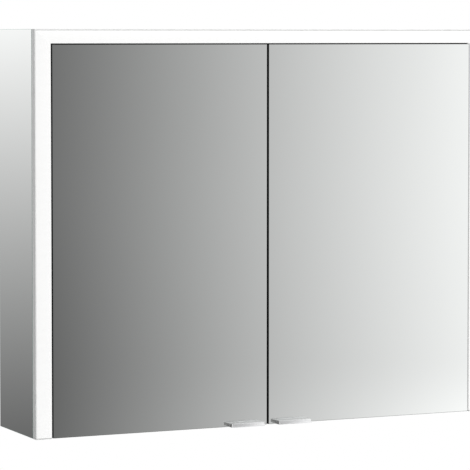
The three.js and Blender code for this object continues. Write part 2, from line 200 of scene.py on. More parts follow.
def rectangle(a0: float, a1: float, b0: float, b1: float) -> Array:
    """The four corners of a rectangle, anticlockwise."""
    return np.array([[a0, b0], [a1, b0], [a1, b1], [a0, b1]], dtype=float)


def oblong(wide: float, tall: float) -> Array:
    """A rectangle round the outline's origin."""
    return rectangle(-wide / 2, wide / 2, -tall / 2, tall / 2)


def filleted(points: Array, radius: float, steps: int = 6, closed: bool = True) -> Array:
    """Rounds the corners of a path.

    Each corner P with unit vectors u and v to its neighbours gets an arc of the given radius
    about C = P + (u + v) / |u + v| * r / sin(h), where h is half the corner's angle. The arc is
    the great-circle blend sin((1 - s) w) a + sin(s w) b over sin(w) of its two end directions.

    Args:
        points: the corners, shape (n, 2).
        radius: the arc's radius.
        steps: segments along each arc.
        closed: whether the path runs back to its start.

    Returns:
        The rounded path, shape (m, 2).
    """
    before = np.roll(points, 1, axis=0) - points
    after = np.roll(points, -1, axis=0) - points
    u = before / np.linalg.norm(before, axis=1, keepdims=True)
    v = after / np.linalg.norm(after, axis=1, keepdims=True)
    half = np.arccos(np.clip((u * v).sum(axis=1, keepdims=True), -1, 1)) / 2
    bisector = (u + v) / np.maximum(np.linalg.norm(u + v, axis=1, keepdims=True), 1e-12)
    centre = points + bisector * radius / np.sin(half)
    start = points + u * radius / np.tan(half) - centre
    end = points + v * radius / np.tan(half) - centre
    sweep = (math.pi - 2 * half)[:, None, :]
    s = np.linspace(0, 1, steps + 1)[None, :, None]
    arc = (np.sin((1 - s) * sweep) * start[:, None, :] + np.sin(s * sweep) * end[:, None, :]) / np.sin(sweep)
    rounded = centre[:, None, :] + arc
    if closed:
        return rounded.reshape(-1, 2)
    inner = rounded[1:-1].reshape(-1, 2)
    return np.vstack([points[:1], inner, points[-1:]])


def inset(outline: Array, distance: float) -> Array:
    """Moves a closed anticlockwise outline inward by a distance, keeping its corners mitred.

    At each point the shift is (n1 + n2) / (1 + n1 . n2), with n1 and n2 the inward normals of the
    two edges that meet there.
    """
    edge = np.roll(outline, -1, axis=0) - outline
    normal = np.stack([-edge[:, 1], edge[:, 0]], axis=1)
    normal /= np.maximum(np.linalg.norm(normal, axis=1, keepdims=True), 1e-12)
    last = np.roll(normal, 1, axis=0)
    shift = (normal + last) / (1 + (normal * last).sum(axis=1, keepdims=True))
    return outline + shift * distance


def anticlockwise(outline: Array) -> Array:
    """Returns the outline with its area counted positive."""
    after = np.roll(outline, -1, axis=0)
    area = (outline[:, 0] * after[:, 1] - outline[:, 1] * after[:, 0]).sum()
    return outline if area > 0 else outline[::-1]


def thickened(path: Array, thickness: float) -> Array:
    """The closed outline of bent sheet along an open path, half its thickness to each side."""
    edge = np.diff(path, axis=0)
    edge /= np.linalg.norm(edge, axis=1, keepdims=True)
    first = np.vstack([edge[:1], edge])
    second = np.vstack([edge, edge[-1:]])
    normals = [np.stack([-e[:, 1], e[:, 0]], axis=1) for e in (first, second)]
    dot = (normals[0] * normals[1]).sum(axis=1, keepdims=True)
    shift = (normals[0] + normals[1]) / (1 + dot) * thickness / 2
    return anticlockwise(np.vstack([path + shift, (path - shift)[::-1]]))


def circle(radius: float, steps: int) -> Array:
    """Points (r cos t, r sin t)."""
    t = np.linspace(0, 2 * math.pi, steps, endpoint=False)
    return np.stack([np.cos(t), np.sin(t)], axis=1) * radius


# ---- Surfaces --------------------------------------------------------------------------------


@dataclass
class Surface:
    """Points and faces. Each group of faces is an array with one row of point numbers a face."""

    points: Array
    groups: list[Array]
    zones: list[Array]

    def volume(self) -> float:
        """The signed volume, one sixth of the sum of p0 . (p1 x p2) over fan triangles."""
        total = 0.0
        for group in self.groups:
            hub = self.points[group[:, :1]]
            one, two = self.points[group[:, 1:-1]], self.points[group[:, 2:]]
            total += float((hub * np.cross(one, two)).sum())
        return total / 6

    def outward(self) -> "Surface":
        """Turns every face round if the closed surface is inside out."""
        if self.volume() < 0:
            self.groups = [group[:, ::-1] for group in self.groups]
        return self

    def repeated(self, shifts: Array) -> "Surface":
        """Copies the surface to each of the given shifts, shape (k, 3)."""
        count = len(self.points)
        points = (self.points[None] + shifts[:, None]).reshape(-1, 3)
        steps = (np.arange(len(shifts)) * count)[:, None, None]
        groups = [(group[None] + steps).reshape(-1, group.shape[1]) for group in self.groups]
        return Surface(points, groups, [np.tile(zone, len(shifts)) for zone in self.zones])

    def zoned_where(self, axis: Axis, limit: float, zone: int) -> "Surface":
        """Gives a finish zone to the faces whose unit normal leans along an axis by more than a limit.

        A face's normal is the cross product of its two diagonals, or of its first three points.
        """
        for group, zones in zip(self.groups, self.zones):
            a, b, c, d = (self.points[group[:, i]] for i in (0, 1, 2, -1))
            normal = np.cross(c - a, d - b)
            length = np.maximum(np.linalg.norm(normal, axis=1), 1e-18)
            zones[np.abs(normal[:, axis.value]) / length > limit] = zone
        return self

    @staticmethod
    def joined(parts: Sequence["Surface"]) -> "Surface":
        """Puts several surfaces into one."""
        offsets = np.cumsum([0] + [len(part.points) for part in parts[:-1]])
        groups = [group + start for part, start in zip(parts, offsets) for group in part.groups]
        zones = [zone for part in parts for zone in part.zones]
        return Surface(np.vstack([part.points for part in parts]), groups, zones)


def lofted(rings: Array, bands: Optional[Sequence[int]] = None, caps: Sequence[int] = (0, 0),
           capped: bool = True) -> Surface:
    """A skin over rings of points, with a flat face on each end.

    Point (i, j) of the grid is rings[i, j]. Faces join (i, j), (i, j + 1), (i + 1, j + 1) and
    (i + 1, j), with j running round and back to its start.

    Args:
        rings: shape (m, n, 3).
        bands: the finish zone of each of the m - 1 bands of faces.
        caps: the finish zones of the first and last end face.
        capped: whether the ends are closed by faces; if not, the last ring joins the first.

    Returns:
        The closed surface, facing outward.
    """
    m, n = rings.shape[:2]
    rows = np.arange(m - 1 if capped else m)[:, None]
    columns = np.arange(n)[None, :]
    following, around = (rows + 1) % m, (columns + 1) % n
    quads = np.stack([rows * n + columns, rows * n + around, following * n + around, following * n + columns],
                     axis=-1).reshape(-1, 4)
    band_zones = np.repeat(np.asarray(bands if bands is not None else np.zeros(len(rows)), dtype=int), n)
    groups, zones = [quads], [band_zones]
    if capped:
        groups += [np.arange(n)[None, ::-1], ((m - 1) * n + np.arange(n))[None]]
        zones += [np.array([caps[0]]), np.array([caps[1]])]
    return Surface(rings.reshape(-1, 3), groups, zones).outward()


def slab(outline: Array, thickness: float, place: Place, edge: float = 0.0005, steps: int = 2,
         zones: Sequence[int] = (0, 0, 0)) -> Surface:
    """A flat piece with rounded or bevelled edges.

    The rings are the outline drawn in by edge * (1 - sin t) at height edge * (1 - cos t), with t
    from 0 to a quarter turn, and the same again upside down at the other face.

    Args:
        outline: the flat shape, shape (n, 2).
        thickness: the height from face to face.
        place: where the outline lies.
        edge: the edge's radius, or the size of its bevel.
        steps: segments of each edge; 1 makes a straight bevel.
        zones: finish zones of the first face, the rim and the last face.

    Returns:
        The closed surface.
    """
    shape = anticlockwise(outline)
    t = np.linspace(0, math.pi / 2, steps + 1)
    drawn = edge * (1 - np.sin(t))
    rise = edge * (1 - np.cos(t))
    low = [place.points(inset(shape, d), h) for d, h in zip(drawn, rise)]
    high = [place.points(inset(shape, d), thickness - h) for d, h in zip(drawn[::-1], rise[::-1])]
    rings = np.stack(low + high)
    return lofted(rings, [zones[1]] * (len(rings) - 1), (zones[0], zones[2]))


def turned(profile: Array, place: Place, steps: int = 40, hollow: bool = False) -> Surface:
    """A body of revolution: rings of radius r at height h for each (r, h) of the profile.

    Args:
        profile: points (radius, height). A hollow body's profile closes on itself.
        place: the axis runs along place.rise through place.origin.
        steps: segments round the axis.
        hollow: whether the body is a ring with a hole through it.

    Returns:
        The closed surface.
    """
    rings = np.stack([place.points(circle(max(r, 1e-5), steps), h) for r, h in profile])
    return lofted(rings, capped=not hollow)


def swept(section: Array, start: Array, end: Array, axis: Axis, build: Sequence[Array]) -> Surface:
    """A straight bar whose two ends are cut on a slant.

    Ring k holds the section's two coordinates, and its third coordinate is start or end, which
    may vary from point to point.

    Args:
        section: points (a, b), shape (n, 2).
        start: the bar's first end along the axis, for each point of the section.
        end: the bar's last end, for each point.
        axis: the axis that the bar runs along.
        build: the frame's two directions that a and b run along, as unit vectors.

    Returns:
        The closed surface.
    """
    flat = section[:, :1] * build[0] + section[:, 1:] * build[1]
    unit = np.eye(3)[axis.value]
    return lofted(np.stack([flat + start[:, None] * unit, flat + end[:, None] * unit]))


def cross_head(place: Place, radius: float, height: float, steps: int = 32) -> Surface:
    """A round screw head with a cross recess.

    On a grid of radius r and angle t the height is h (1 - 0.6 (r / R)^4), less the recess where
    the point lies inside either bar of the cross, with soft walls.
    """
    rows = np.concatenate([np.linspace(0.04, 0.92, 12), [1.0, 1.0]]) * radius
    disc = np.stack([circle(r, steps) for r in rows])
    r = rows[:, None] / radius
    top = height * (1 - 0.6 * r ** 4) * np.ones((1, steps))
    top[-1] = 0
    x, y = np.abs(disc[..., 0]) / radius, np.abs(disc[..., 1]) / radius
    reach, end_slope, half_width, wall_slope, depth = 0.62, 0.1, 0.17, 0.07, 0.55
    bars = [np.clip((reach - p) / end_slope, 0, 1) * np.clip((half_width - q) / wall_slope, 0, 1)
            for p, q in ((x, y), (y, x))]
    top -= np.maximum(bars[0], bars[1]) * height * depth
    return lofted(place.points(disc, top))


# ---- Shader wiring ---------------------------------------------------------------------------


class Number:
    """A number carried by a shader socket. Arithmetic on it adds Math nodes."""

    def __init__(self, graph: "Graph", socket: bpy.types.NodeSocket) -> None:
        """Wraps a socket of a graph."""
        self.graph = graph
        self.socket = socket

    def _math(self, operation: str, *terms: Any) -> "Number":
        """Adds a Math node on the given terms, in order."""
        made = self.graph.node("ShaderNodeMath", {"operation": operation}, dict(enumerate(terms)))
        return Number(self.graph, made.outputs[0])

    def __add__(self, other: Any) -> "Number":
        """Sum."""
        return self._math("ADD", self, other)

    def __sub__(self, other: Any) -> "Number":
        """Difference."""
        return self._math("SUBTRACT", self, other)

    def __rsub__(self, other: Any) -> "Number":
        """Difference, taken from a plain value."""
        return self._math("SUBTRACT", other, self)

    def __mul__(self, other: Any) -> "Number":
        """Product."""
        return self._math("MULTIPLY", self, other)

    def __truediv__(self, other: Any) -> "Number":
        """Quotient."""
        return self._math("DIVIDE", self, other)

    def sine(self) -> "Number":
        """Sine of an angle in radians."""
        return self._math("SINE", self)

    def angle_from(self, other: Any) -> "Number":
        """The angle whose tangent is this over the other."""
        return self._math("ARCTAN2", self, other)

    def clamped(self, low: float, high: float) -> "Number":
        """The number kept between two limits."""
        return self._math("MINIMUM", self._math("MAXIMUM", self, low), high)

    def smooth(self, low: float, high: float) -> "Number":
        """A soft step that goes from 0 at low to 1 at high."""
        made = self.graph.node("ShaderNodeMapRange", {"interpolation_type": "SMOOTHSTEP"},
                               {"Value": self, "From Min": low, "From Max": high})
        return Number(self.graph, made.outputs[0])


class Graph:
    """A node tree that is being wired."""

    def __init__(self, tree: bpy.types.NodeTree) -> None:
        """Starts on an empty tree."""
        self.tree = tree
        tree.nodes.clear()

    def node(self, kind: str, settings: Optional[Mapping[str, Any]] = None,
             sockets: Optional[Mapping[Any, Any]] = None) -> bpy.types.Node:
        """Adds a node.

        Args:
            kind: the node's type.
            settings: its own settings.
            sockets: values or links for its inputs, by name or number.

        Returns:
            The node.
        """
        made = self.tree.nodes.new(kind)
        for key, value in (settings or {}).items():
            setattr(made, key, value)
        for key, value in (sockets or {}).items():
            self.feed(made.inputs[key], value)
        return made

    def feed(self, socket: bpy.types.NodeSocket, value: Any) -> None:
        """Links or sets an input."""
        if isinstance(value, Number):
            value = value.socket
        if isinstance(value, bpy.types.NodeSocket):
            self.tree.links.new(value, socket)
        else:
            socket.default_value = value

    def here(self, scale: Sequence[float] = (1, 1, 1)) -> bpy.types.NodeSocket:
        """Object coordinates, stretched by a scale along each axis."""
        place = self.node("ShaderNodeTexCoord")
        sockets = {"Vector": place.outputs["Object"], "Scale": tuple(scale)}
        return self.node("ShaderNodeMapping", None, sockets).outputs[0]

    def noise(self, scale: float, stretch: Sequence[float] = (1, 1, 1), detail: float = 3.0) -> Number:
        """Soft noise between 0 and 1 over Object coordinates."""
        sockets = {"Vector": self.here(stretch), "Scale": scale, "Detail": detail}
        return Number(self, self.node("ShaderNodeTexNoise", None, sockets).outputs["Fac"])

    def blend(self, factor: Any, one: Sequence[float], two: Sequence[float]) -> bpy.types.NodeSocket:
        """A colour between two colours."""
        sockets = {0: factor, 6: (*one, 1.0), 7: (*two, 1.0)}
        return self.node("ShaderNodeMix", {"data_type": "RGBA"}, sockets).outputs[2]

    def bump(self, height: Number, strength: float, distance: float) -> bpy.types.NodeSocket:
        """A normal roughened by a height."""
        sockets = {"Height": height, "Strength": strength, "Distance": distance}
        return self.node("ShaderNodeBump", None, sockets).outputs[0]


def scaled(colour: Sequence[float], factor: float) -> tuple[float, ...]:
    """A colour made lighter or darker."""
    return tuple(min(1.0, channel * factor) for channel in colour)


# ---- Finishes --------------------------------------------------------------------------------


@dataclass(frozen=True)
class Finish:
    """A surface finish. Its name is its material's name."""

    name: str
    colour: tuple[float, float, float] = (0.8, 0.8, 0.8)
    roughness: float = 0.5
    metallic: float = 0.0
    specular: float = 0.5

    def material(self) -> bpy.types.Material:
        """Returns the finish's material, made the first time it is asked for."""
        found = bpy.data.materials.get(self.name)
        if found is not None:
            return found
        made = bpy.data.materials.new(self.name)
        made.use_nodes = True
        graph = Graph(made.node_tree)
        shader = graph.node("ShaderNodeBsdfPrincipled", None, {
            "Base Color": (*self.colour, 1.0), "Roughness": self.roughness, "Metallic": self.metallic,
            "Specular IOR Level": self.specular})
        graph.node("ShaderNodeOutputMaterial", None, {"Surface": shader.outputs[0]})
        self.wire(graph, shader.inputs)
        return made

    def wire(self, graph: Graph, inputs: Any) -> None:
        """Adds the finish's own detail to its shader."""

    def skin(self, graph: Graph, inputs: Any, tone: Number, shades: tuple[float, float], grain: Number,
             gloss_change: Any, bump: tuple[float, float]) -> None:
        """Varies the colour, the roughness and the fine relief.

        Args:
            graph: the material's node tree.
            inputs: the shader's inputs.
            tone: where the colour goes from the first shade to the second.
            shades: the two shades, as factors on the colour.
            grain: the fine relief.
            gloss_change: what is added to the roughness.
            bump: the relief's strength and depth.
        """
        dark, light = (scaled(self.colour, shade) for shade in shades)
        graph.feed(inputs["Base Color"], graph.blend(tone, dark, light))
        graph.feed(inputs["Roughness"], gloss_change + self.roughness)
        graph.feed(inputs["Normal"], graph.bump(grain, *bump))


@dataclass(frozen=True)
class Silvering(Finish):
    """Silvered float glass: a clear reflection, very slightly rolled, with a faint haze of handling."""

    haze: float = 0.02

    def wire(self, graph: Graph, inputs: Any) -> None:
        """Adds the rolled waviness and the haze."""
        smear = graph.noise(5.0, (1, 1, 0.5), 4.0).smooth(0.45, 0.8)
        rolled = graph.noise(2.2, (1, 1, 0.3), 1.0)
        self.skin(graph, inputs, smear, (1.0, 0.985), rolled, smear * self.haze, (0.02, 0.0004))


@dataclass(frozen=True)
class GroundEdge(Finish):
    """The ground and polished edge of float glass, green from the iron in it."""

    def wire(self, graph: Graph, inputs: Any) -> None:
        """Adds grinding marks and a change of depth in the green."""
        grind = graph.noise(900.0, detail=2.0)
        depth = graph.noise(14.0, detail=2.0)
        self.skin(graph, inputs, depth, (1.0, 1.5), grind, grind * 0.2, (0.15, 0.00005))


@dataclass(frozen=True)
class ClearGlass(Finish):
    """Clear float glass seen through its faces."""

    ior: float = 1.5

    def wire(self, graph: Graph, inputs: Any) -> None:
        """Lets the light through, with a trace of wiping marks."""
        inputs["Transmission Weight"].default_value = 1.0
        inputs["IOR"].default_value = self.ior
        graph.feed(inputs["Roughness"], graph.noise(9.0, (1, 4, 1), 3.0).smooth(0.5, 0.9) * 0.03)


@dataclass(frozen=True)
class Anodised(Finish):
    """Satin anodised aluminium with fine draw lines along one axis."""

    grain: Axis = Axis.Z
    drawn: float = 0.012

    def wire(self, graph: Graph, inputs: Any) -> None:
        """Adds draw lines: noise that changes far more slowly along the grain than across it."""
        stretch = [1.0, 1.0, 1.0]
        stretch[self.grain.value] = self.drawn
        lines = graph.noise(1400.0, stretch, 4.0)
        broad = graph.noise(60.0, stretch, 2.0)
        self.skin(graph, inputs, broad, (0.94, 1.05), lines, lines * 0.16, (0.12, 0.00006))


@dataclass(frozen=True)
class OpalLit(Finish):
    """Opal acrylic lit from behind by a row of chips."""

    strength: float = 0.77
    pitch: float = 0.0167
    run: Axis = Axis.Z

    def wire(self, graph: Graph, inputs: Any) -> None:
        """Adds the glow, a little brighter over each chip, and the satin skin."""
        split = graph.node("ShaderNodeSeparateXYZ", None, {0: graph.here()})
        along = Number(graph, split.outputs[self.run.value])
        chips = (along * (2 * math.pi / self.pitch)).sine() * 0.5 + 0.5
        cloud = graph.noise(30.0, detail=2.0)
        glow = graph.blend(chips * 0.6 + cloud * 0.4, scaled(self.colour, 0.975), self.colour)
        graph.feed(inputs["Emission Color"], glow)
        inputs["Emission Strength"].default_value = self.strength
        fine = graph.noise(2200.0, detail=2.0)
        graph.feed(inputs["Roughness"], fine * 0.1 + self.roughness)
        graph.feed(inputs["Normal"], graph.bump(fine, 0.08, 0.00004))


@dataclass(frozen=True)
class Board(Finish):
    """Melamine-faced board: a fine pearl texture under a satin skin."""

    grain: float = 700.0

    def wire(self, graph: Graph, inputs: Any) -> None:
        """Adds the pearl texture and faint cloudiness."""
        pearl = graph.noise(self.grain)
        cloud = graph.noise(6.0, detail=2.0)
        self.skin(graph, inputs, cloud, (0.97, 1.02), pearl, pearl * 0.18, (0.22, 0.0001))


@dataclass(frozen=True)
class Plated(Finish):
    """Plated or bright steel with fine polishing marks and slight dulling."""

    def wire(self, graph: Graph, inputs: Any) -> None:
        """Adds polishing marks, and dull patches where it is handled."""
        marks = graph.noise(500.0, (1, 0.15, 0.15), 3.0)
        dull = graph.noise(45.0).smooth(0.4, 0.75)
        self.skin(graph, inputs, dull, (1.0, 0.86), marks, marks * 0.12 + dull * 0.1, (0.08, 0.00005))


@dataclass(frozen=True)
class ZincSheet(Finish):
    """Zinc-plated sheet steel with a faint crystal pattern."""

    def wire(self, graph: Graph, inputs: Any) -> None:
        """Adds crystals: cells that differ in tone and gloss."""
        cells = graph.node("ShaderNodeTexVoronoi", None, {"Vector": graph.here(), "Scale": 420.0})
        split = graph.node("ShaderNodeSeparateColor", None, {0: cells.outputs["Color"]})
        tone = Number(graph, split.outputs[0])
        self.skin(graph, inputs, tone, (0.94, 1.05), graph.noise(300.0), tone * 0.1, (0.1, 0.00005))


@dataclass(frozen=True)
class Moulded(Finish):
    """Injection-moulded plastic or rubber with a fine spark-eroded grain."""

    grain: float = 1500.0
    depth: float = 0.12

    def wire(self, graph: Graph, inputs: Any) -> None:
        """Adds the mould's grain and slight flow variation."""
        spark = graph.noise(self.grain, detail=2.0)
        flow = graph.noise(25.0, detail=2.0)
        self.skin(graph, inputs, flow, (0.96, 1.04), spark, spark * 0.15, (self.depth, 0.00006))


@dataclass(frozen=True)
class Floor(Finish):
    """A pale studio floor that fades out towards its rim."""

    inner: float = 0.45
    outer: float = 0.88

    def wire(self, graph: Graph, inputs: Any) -> None:
        """Adds the fade and a faint mottling."""
        flat = graph.here((1, 1, 0))
        length = graph.node("ShaderNodeVectorMath", {"operation": "LENGTH"}, {0: flat})
        far = Number(graph, length.outputs["Value"])
        graph.feed(inputs["Alpha"], 1.0 - far.smooth(self.inner, self.outer))
        graph.feed(inputs["Roughness"], graph.noise(20.0) * 0.1 + self.roughness)


SILVER = Silvering("silvered_glass", (0.90, 0.915, 0.905), 0.008, 1.0)
GLASS_EDGE = GroundEdge("ground_glass_edge", (0.11, 0.235, 0.19), 0.18)
# Near-black rim for the door mirrors, so the gap between the doors reads dark: painted shade.
DOOR_EDGE_PAINTED_SHADE = Moulded("door_edge_painted_shade", (0.008, 0.010, 0.009), 0.6, specular=0.05, grain=600.0)
BACKING = Moulded("mirror_backing_paint", (0.20, 0.22, 0.23), 0.5, grain=400.0)
SHELF_GLASS = ClearGlass("clear_shelf_glass", (0.93, 0.985, 0.96), 0.0)
FRAME_UPRIGHT = Anodised("anodised_upright", (0.68, 0.69, 0.685), 0.40, 0.3, grain=Axis.Z)
FRAME_LEVEL = Anodised("anodised_level", (0.68, 0.685, 0.68), 0.38, 0.3, grain=Axis.X)
# The frame aluminium again, lighter and less metallic, for the profile's front and back faces: painted
# highlight.
FRAME_FRONT_PAINTED_LIGHT = Anodised("frame_front_painted_highlight", (0.90, 0.905, 0.90), 0.36, 0.08, grain=Axis.Z)
HANDLE_METAL = Anodised("anodised_handle", (0.88, 0.885, 0.89), 0.22, 0.8, grain=Axis.X)
# The handle's anodised metal made much darker for the tab's end faces: painted shade.
HANDLE_END_PAINTED_SHADE = Anodised("handle_end_painted_shade", (0.30, 0.30, 0.30), 0.34, 0.8, grain=Axis.Y)
OPAL_UPRIGHT = OpalLit("opal_upright", (0.60, 0.60, 0.597), 0.42, run=Axis.Z)
OPAL_LEVEL = OpalLit("opal_level", (0.60, 0.60, 0.597), 0.42, run=Axis.X)
CASE_BOARD = Board("white_case_board", (0.80, 0.805, 0.80), 0.34)
# Near-black door core, seen only in the gap between the doors, so the gap reads dark: painted shade.
CORE_PAINTED_SHADE = Board("door_core_painted_shade", (0.020, 0.021, 0.023), 0.6, specular=0.1, grain=300.0)
NICKEL = Plated("nickel_plate", (0.72, 0.70, 0.67), 0.2, 1.0)
BRIGHT_STEEL = Plated("bright_steel", (0.62, 0.63, 0.64), 0.22, 1.0)
ZINC = ZincSheet("zinc_sheet", (0.60, 0.61, 0.62), 0.32, 0.9)
WHITE_PLASTIC = Moulded("white_moulding", (0.82, 0.82, 0.80), 0.35)
GREY_PLASTIC = Moulded("grey_moulding", (0.16, 0.165, 0.17), 0.42)
BLACK_PLASTIC = Moulded("black_moulding", (0.02, 0.02, 0.022), 0.3)
ROCKER_PLASTIC = Moulded("rocker_moulding", (0.80, 0.80, 0.78), 0.22, depth=0.04)
SOFT_CLEAR = Moulded("soft_clear_rubber", (0.66, 0.69, 0.68), 0.45, depth=0.05)
MARK_INK = Moulded("mark_ink", (0.05, 0.05, 0.055), 0.4)
CIRCUIT = Moulded("circuit_board_white", (0.80, 0.80, 0.76), 0.4, grain=500.0)
PHOSPHOR = Moulded("chip_phosphor", (0.92, 0.80, 0.36), 0.3)
STAGE = Floor("pale_floor", (0.86, 0.86, 0.86), 0.55)


# ---- Pieces ----------------------------------------------------------------------------------


def make_piece(name: str, surface: Surface, finishes: Sequence[Finish], body: str,
               replaces: Sequence[str] = ()) -> None:
    """Puts a surface into the scene as a finished piece.

    Args:
        name: the piece's name.
        surface: its shape.
        finishes: one finish for each zone of the surface.
        body: the moving body that it rides on.
        replaces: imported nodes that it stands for.
    """
    mesh = bpy.data.meshes.new(name)
    sizes = np.concatenate([np.full(len(group), group.shape[1]) for group in surface.groups])
    loops = np.concatenate([group.ravel() for group in surface.groups])
    zones = np.concatenate([np.asarray(zone) for zone in surface.zones])
    mesh.vertices.add(len(surface.points))
    mesh.vertices.foreach_set("co", surface.points.astype(np.float32).ravel())
    mesh.loops.add(len(loops))
    mesh.loops.foreach_set("vertex_index", loops.astype(np.int32))
    mesh.polygons.add(len(sizes))
    starts = np.concatenate([[0], np.cumsum(sizes)[:-1]])
    mesh.polygons.foreach_set("loop_start", starts.astype(np.int32))
    for finish in finishes:
        mesh.materials.append(finish.material())
    mesh.polygons.foreach_set("material_index", zones.astype(np.int32))
    mesh.update(calc_edges=True)
    mesh.validate()
    mesh.shade_smooth()
    mesh.set_sharp_from_angle(angle=math.radians(CREASE))
    piece = bpy.data.objects.new(name, mesh)
    bpy.context.scene.collection.objects.link(piece)
    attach(piece, body)
    if replaces:
        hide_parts(*replaces)
    LOG.info("made %s: %d points, %d faces, on %s", name, len(surface.points), len(sizes), body)


def make_mirror(name: str, node: str, shape: Array, place: Place, edge: Finish, body: str) -> None:
    """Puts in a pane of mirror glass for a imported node.

    Args:
        name: the piece's name.
        node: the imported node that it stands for.
        shape: the pane's outline, still with sharp corners.
        place: the silvered face that shows, rising towards the painted back.
        edge: the finish of the rim.
        body: the moving body.
    """
    thickness = float(np.abs(Box.of(node).size @ place.rise))
    pane = slab(filleted(shape, MIRROR_CORNER, 3), thickness, place, GLASS_BEVEL, 1, (0, 1, 2))
    make_piece(name, pane, (SILVER, edge, BACKING), body, (node,))


def make_screws(name: str, spots: Sequence[Sequence[float]], axis: Axis, sense: float,
                size: Sequence[float], body: str = "case") -> None:
    """Puts a screw head of the given radius and height at each spot.

    Args:
        name: the piece's name.
        spots: where the heads sit.
        axis: the axis that they stand up along.
        sense: which way along it.
        size: radius and height.
        body: the moving body.
    """
    heads = [cross_head(rising(spot, axis, sense), *size) for spot in spots]
    make_piece(name, Surface.joined(heads), (BRIGHT_STEEL,), body)


def dress(node: str, finish: Finish) -> None:
    """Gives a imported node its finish."""
    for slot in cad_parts[node].material_slots:
        slot.material = finish.material()
    LOG.info("dressed %s in %s", node, finish.name)


# ---- Case ------------------------------------------------------------------------------------


@dataclass
class Case:
    """The white board case with its mirrored sides and back."""

    board_edge: float = 0.0006
    plug_radius: float = 0.0031
    plug_height: float = 0.0007
    hole_pitch: float = 0.032
    plugs_from_pin: tuple[int, ...] = (-2, -1, 1, 2)
    body: str = "case"

    def build(self) -> None:
        """Makes the mirrors and boards."""
        for side in Side:
            self.side_mirror(side)
            self.hole_plugs(side)
            dress(f"side_panel_{side.value}", CASE_BOARD)
        self.rear_mirror()
        self.top()
        dress("bottom_panel", CASE_BOARD)
        dress("rear_panel", CASE_BOARD)

    def side_mirror(self, side: Side) -> None:
        """The outer mirror, silvered behind its outer face."""
        box = Box.of(f"side_mirror_{side.value}")
        make_mirror(f"{side.value}_outer_mirror", f"side_mirror_{side.value}", box.outline(Axis.X),
                    facing_side(box.edge(side.sign), side.sign), GLASS_EDGE, self.body)

    def hole_plugs(self, side: Side) -> None:
        """Small caps in the unused shelf holes of a side board."""
        board = Box.of(f"side_panel_{side.value}")
        r, h = self.plug_radius, self.plug_height
        profile = np.array([[0, 0], [r, 0], [r, h * 0.4], [r * 0.9, h * 0.8], [r * 0.6, h], [0, h]])
        cap = turned(profile, facing_side(board.edge(-side.sign), side.sign), 24)
        steps = np.array(self.plugs_from_pin) * self.hole_pitch
        shifts = []
        for level in Level:
            for row in ("front", "rear"):
                pin = Box.of(f"shelf_pin_{level.value}_{row}_{side.value}").middle
                still = np.zeros_like(steps)
                shifts.append(np.stack([still, still + pin[1], pin[2] + steps], axis=1))
        make_piece(f"{side.value}_shelf_hole_plugs", cap.repeated(np.vstack(shifts)), (WHITE_PLASTIC,),
                   self.body)

    def rear_mirror(self) -> None:
        """The mirror at the back of the shelves."""
        box = Box.of("rear_mirror")
        make_mirror("inner_rear_mirror", "rear_mirror", box.outline(Axis.Y), facing_front(box.low[1]),
                    GLASS_EDGE, self.body)

    def top(self) -> None:
        """The top board, with eased edges."""
        box = Box.of("top_panel")
        shape = box.outline(Axis.Z)
        board = slab(shape, box.size[2], lying(box.low[2]), self.board_edge, 2)
        make_piece("top_board", board, (CASE_BOARD,), self.body, ("top_panel",))


# ---- Front frame and light band --------------------------------------------------------------


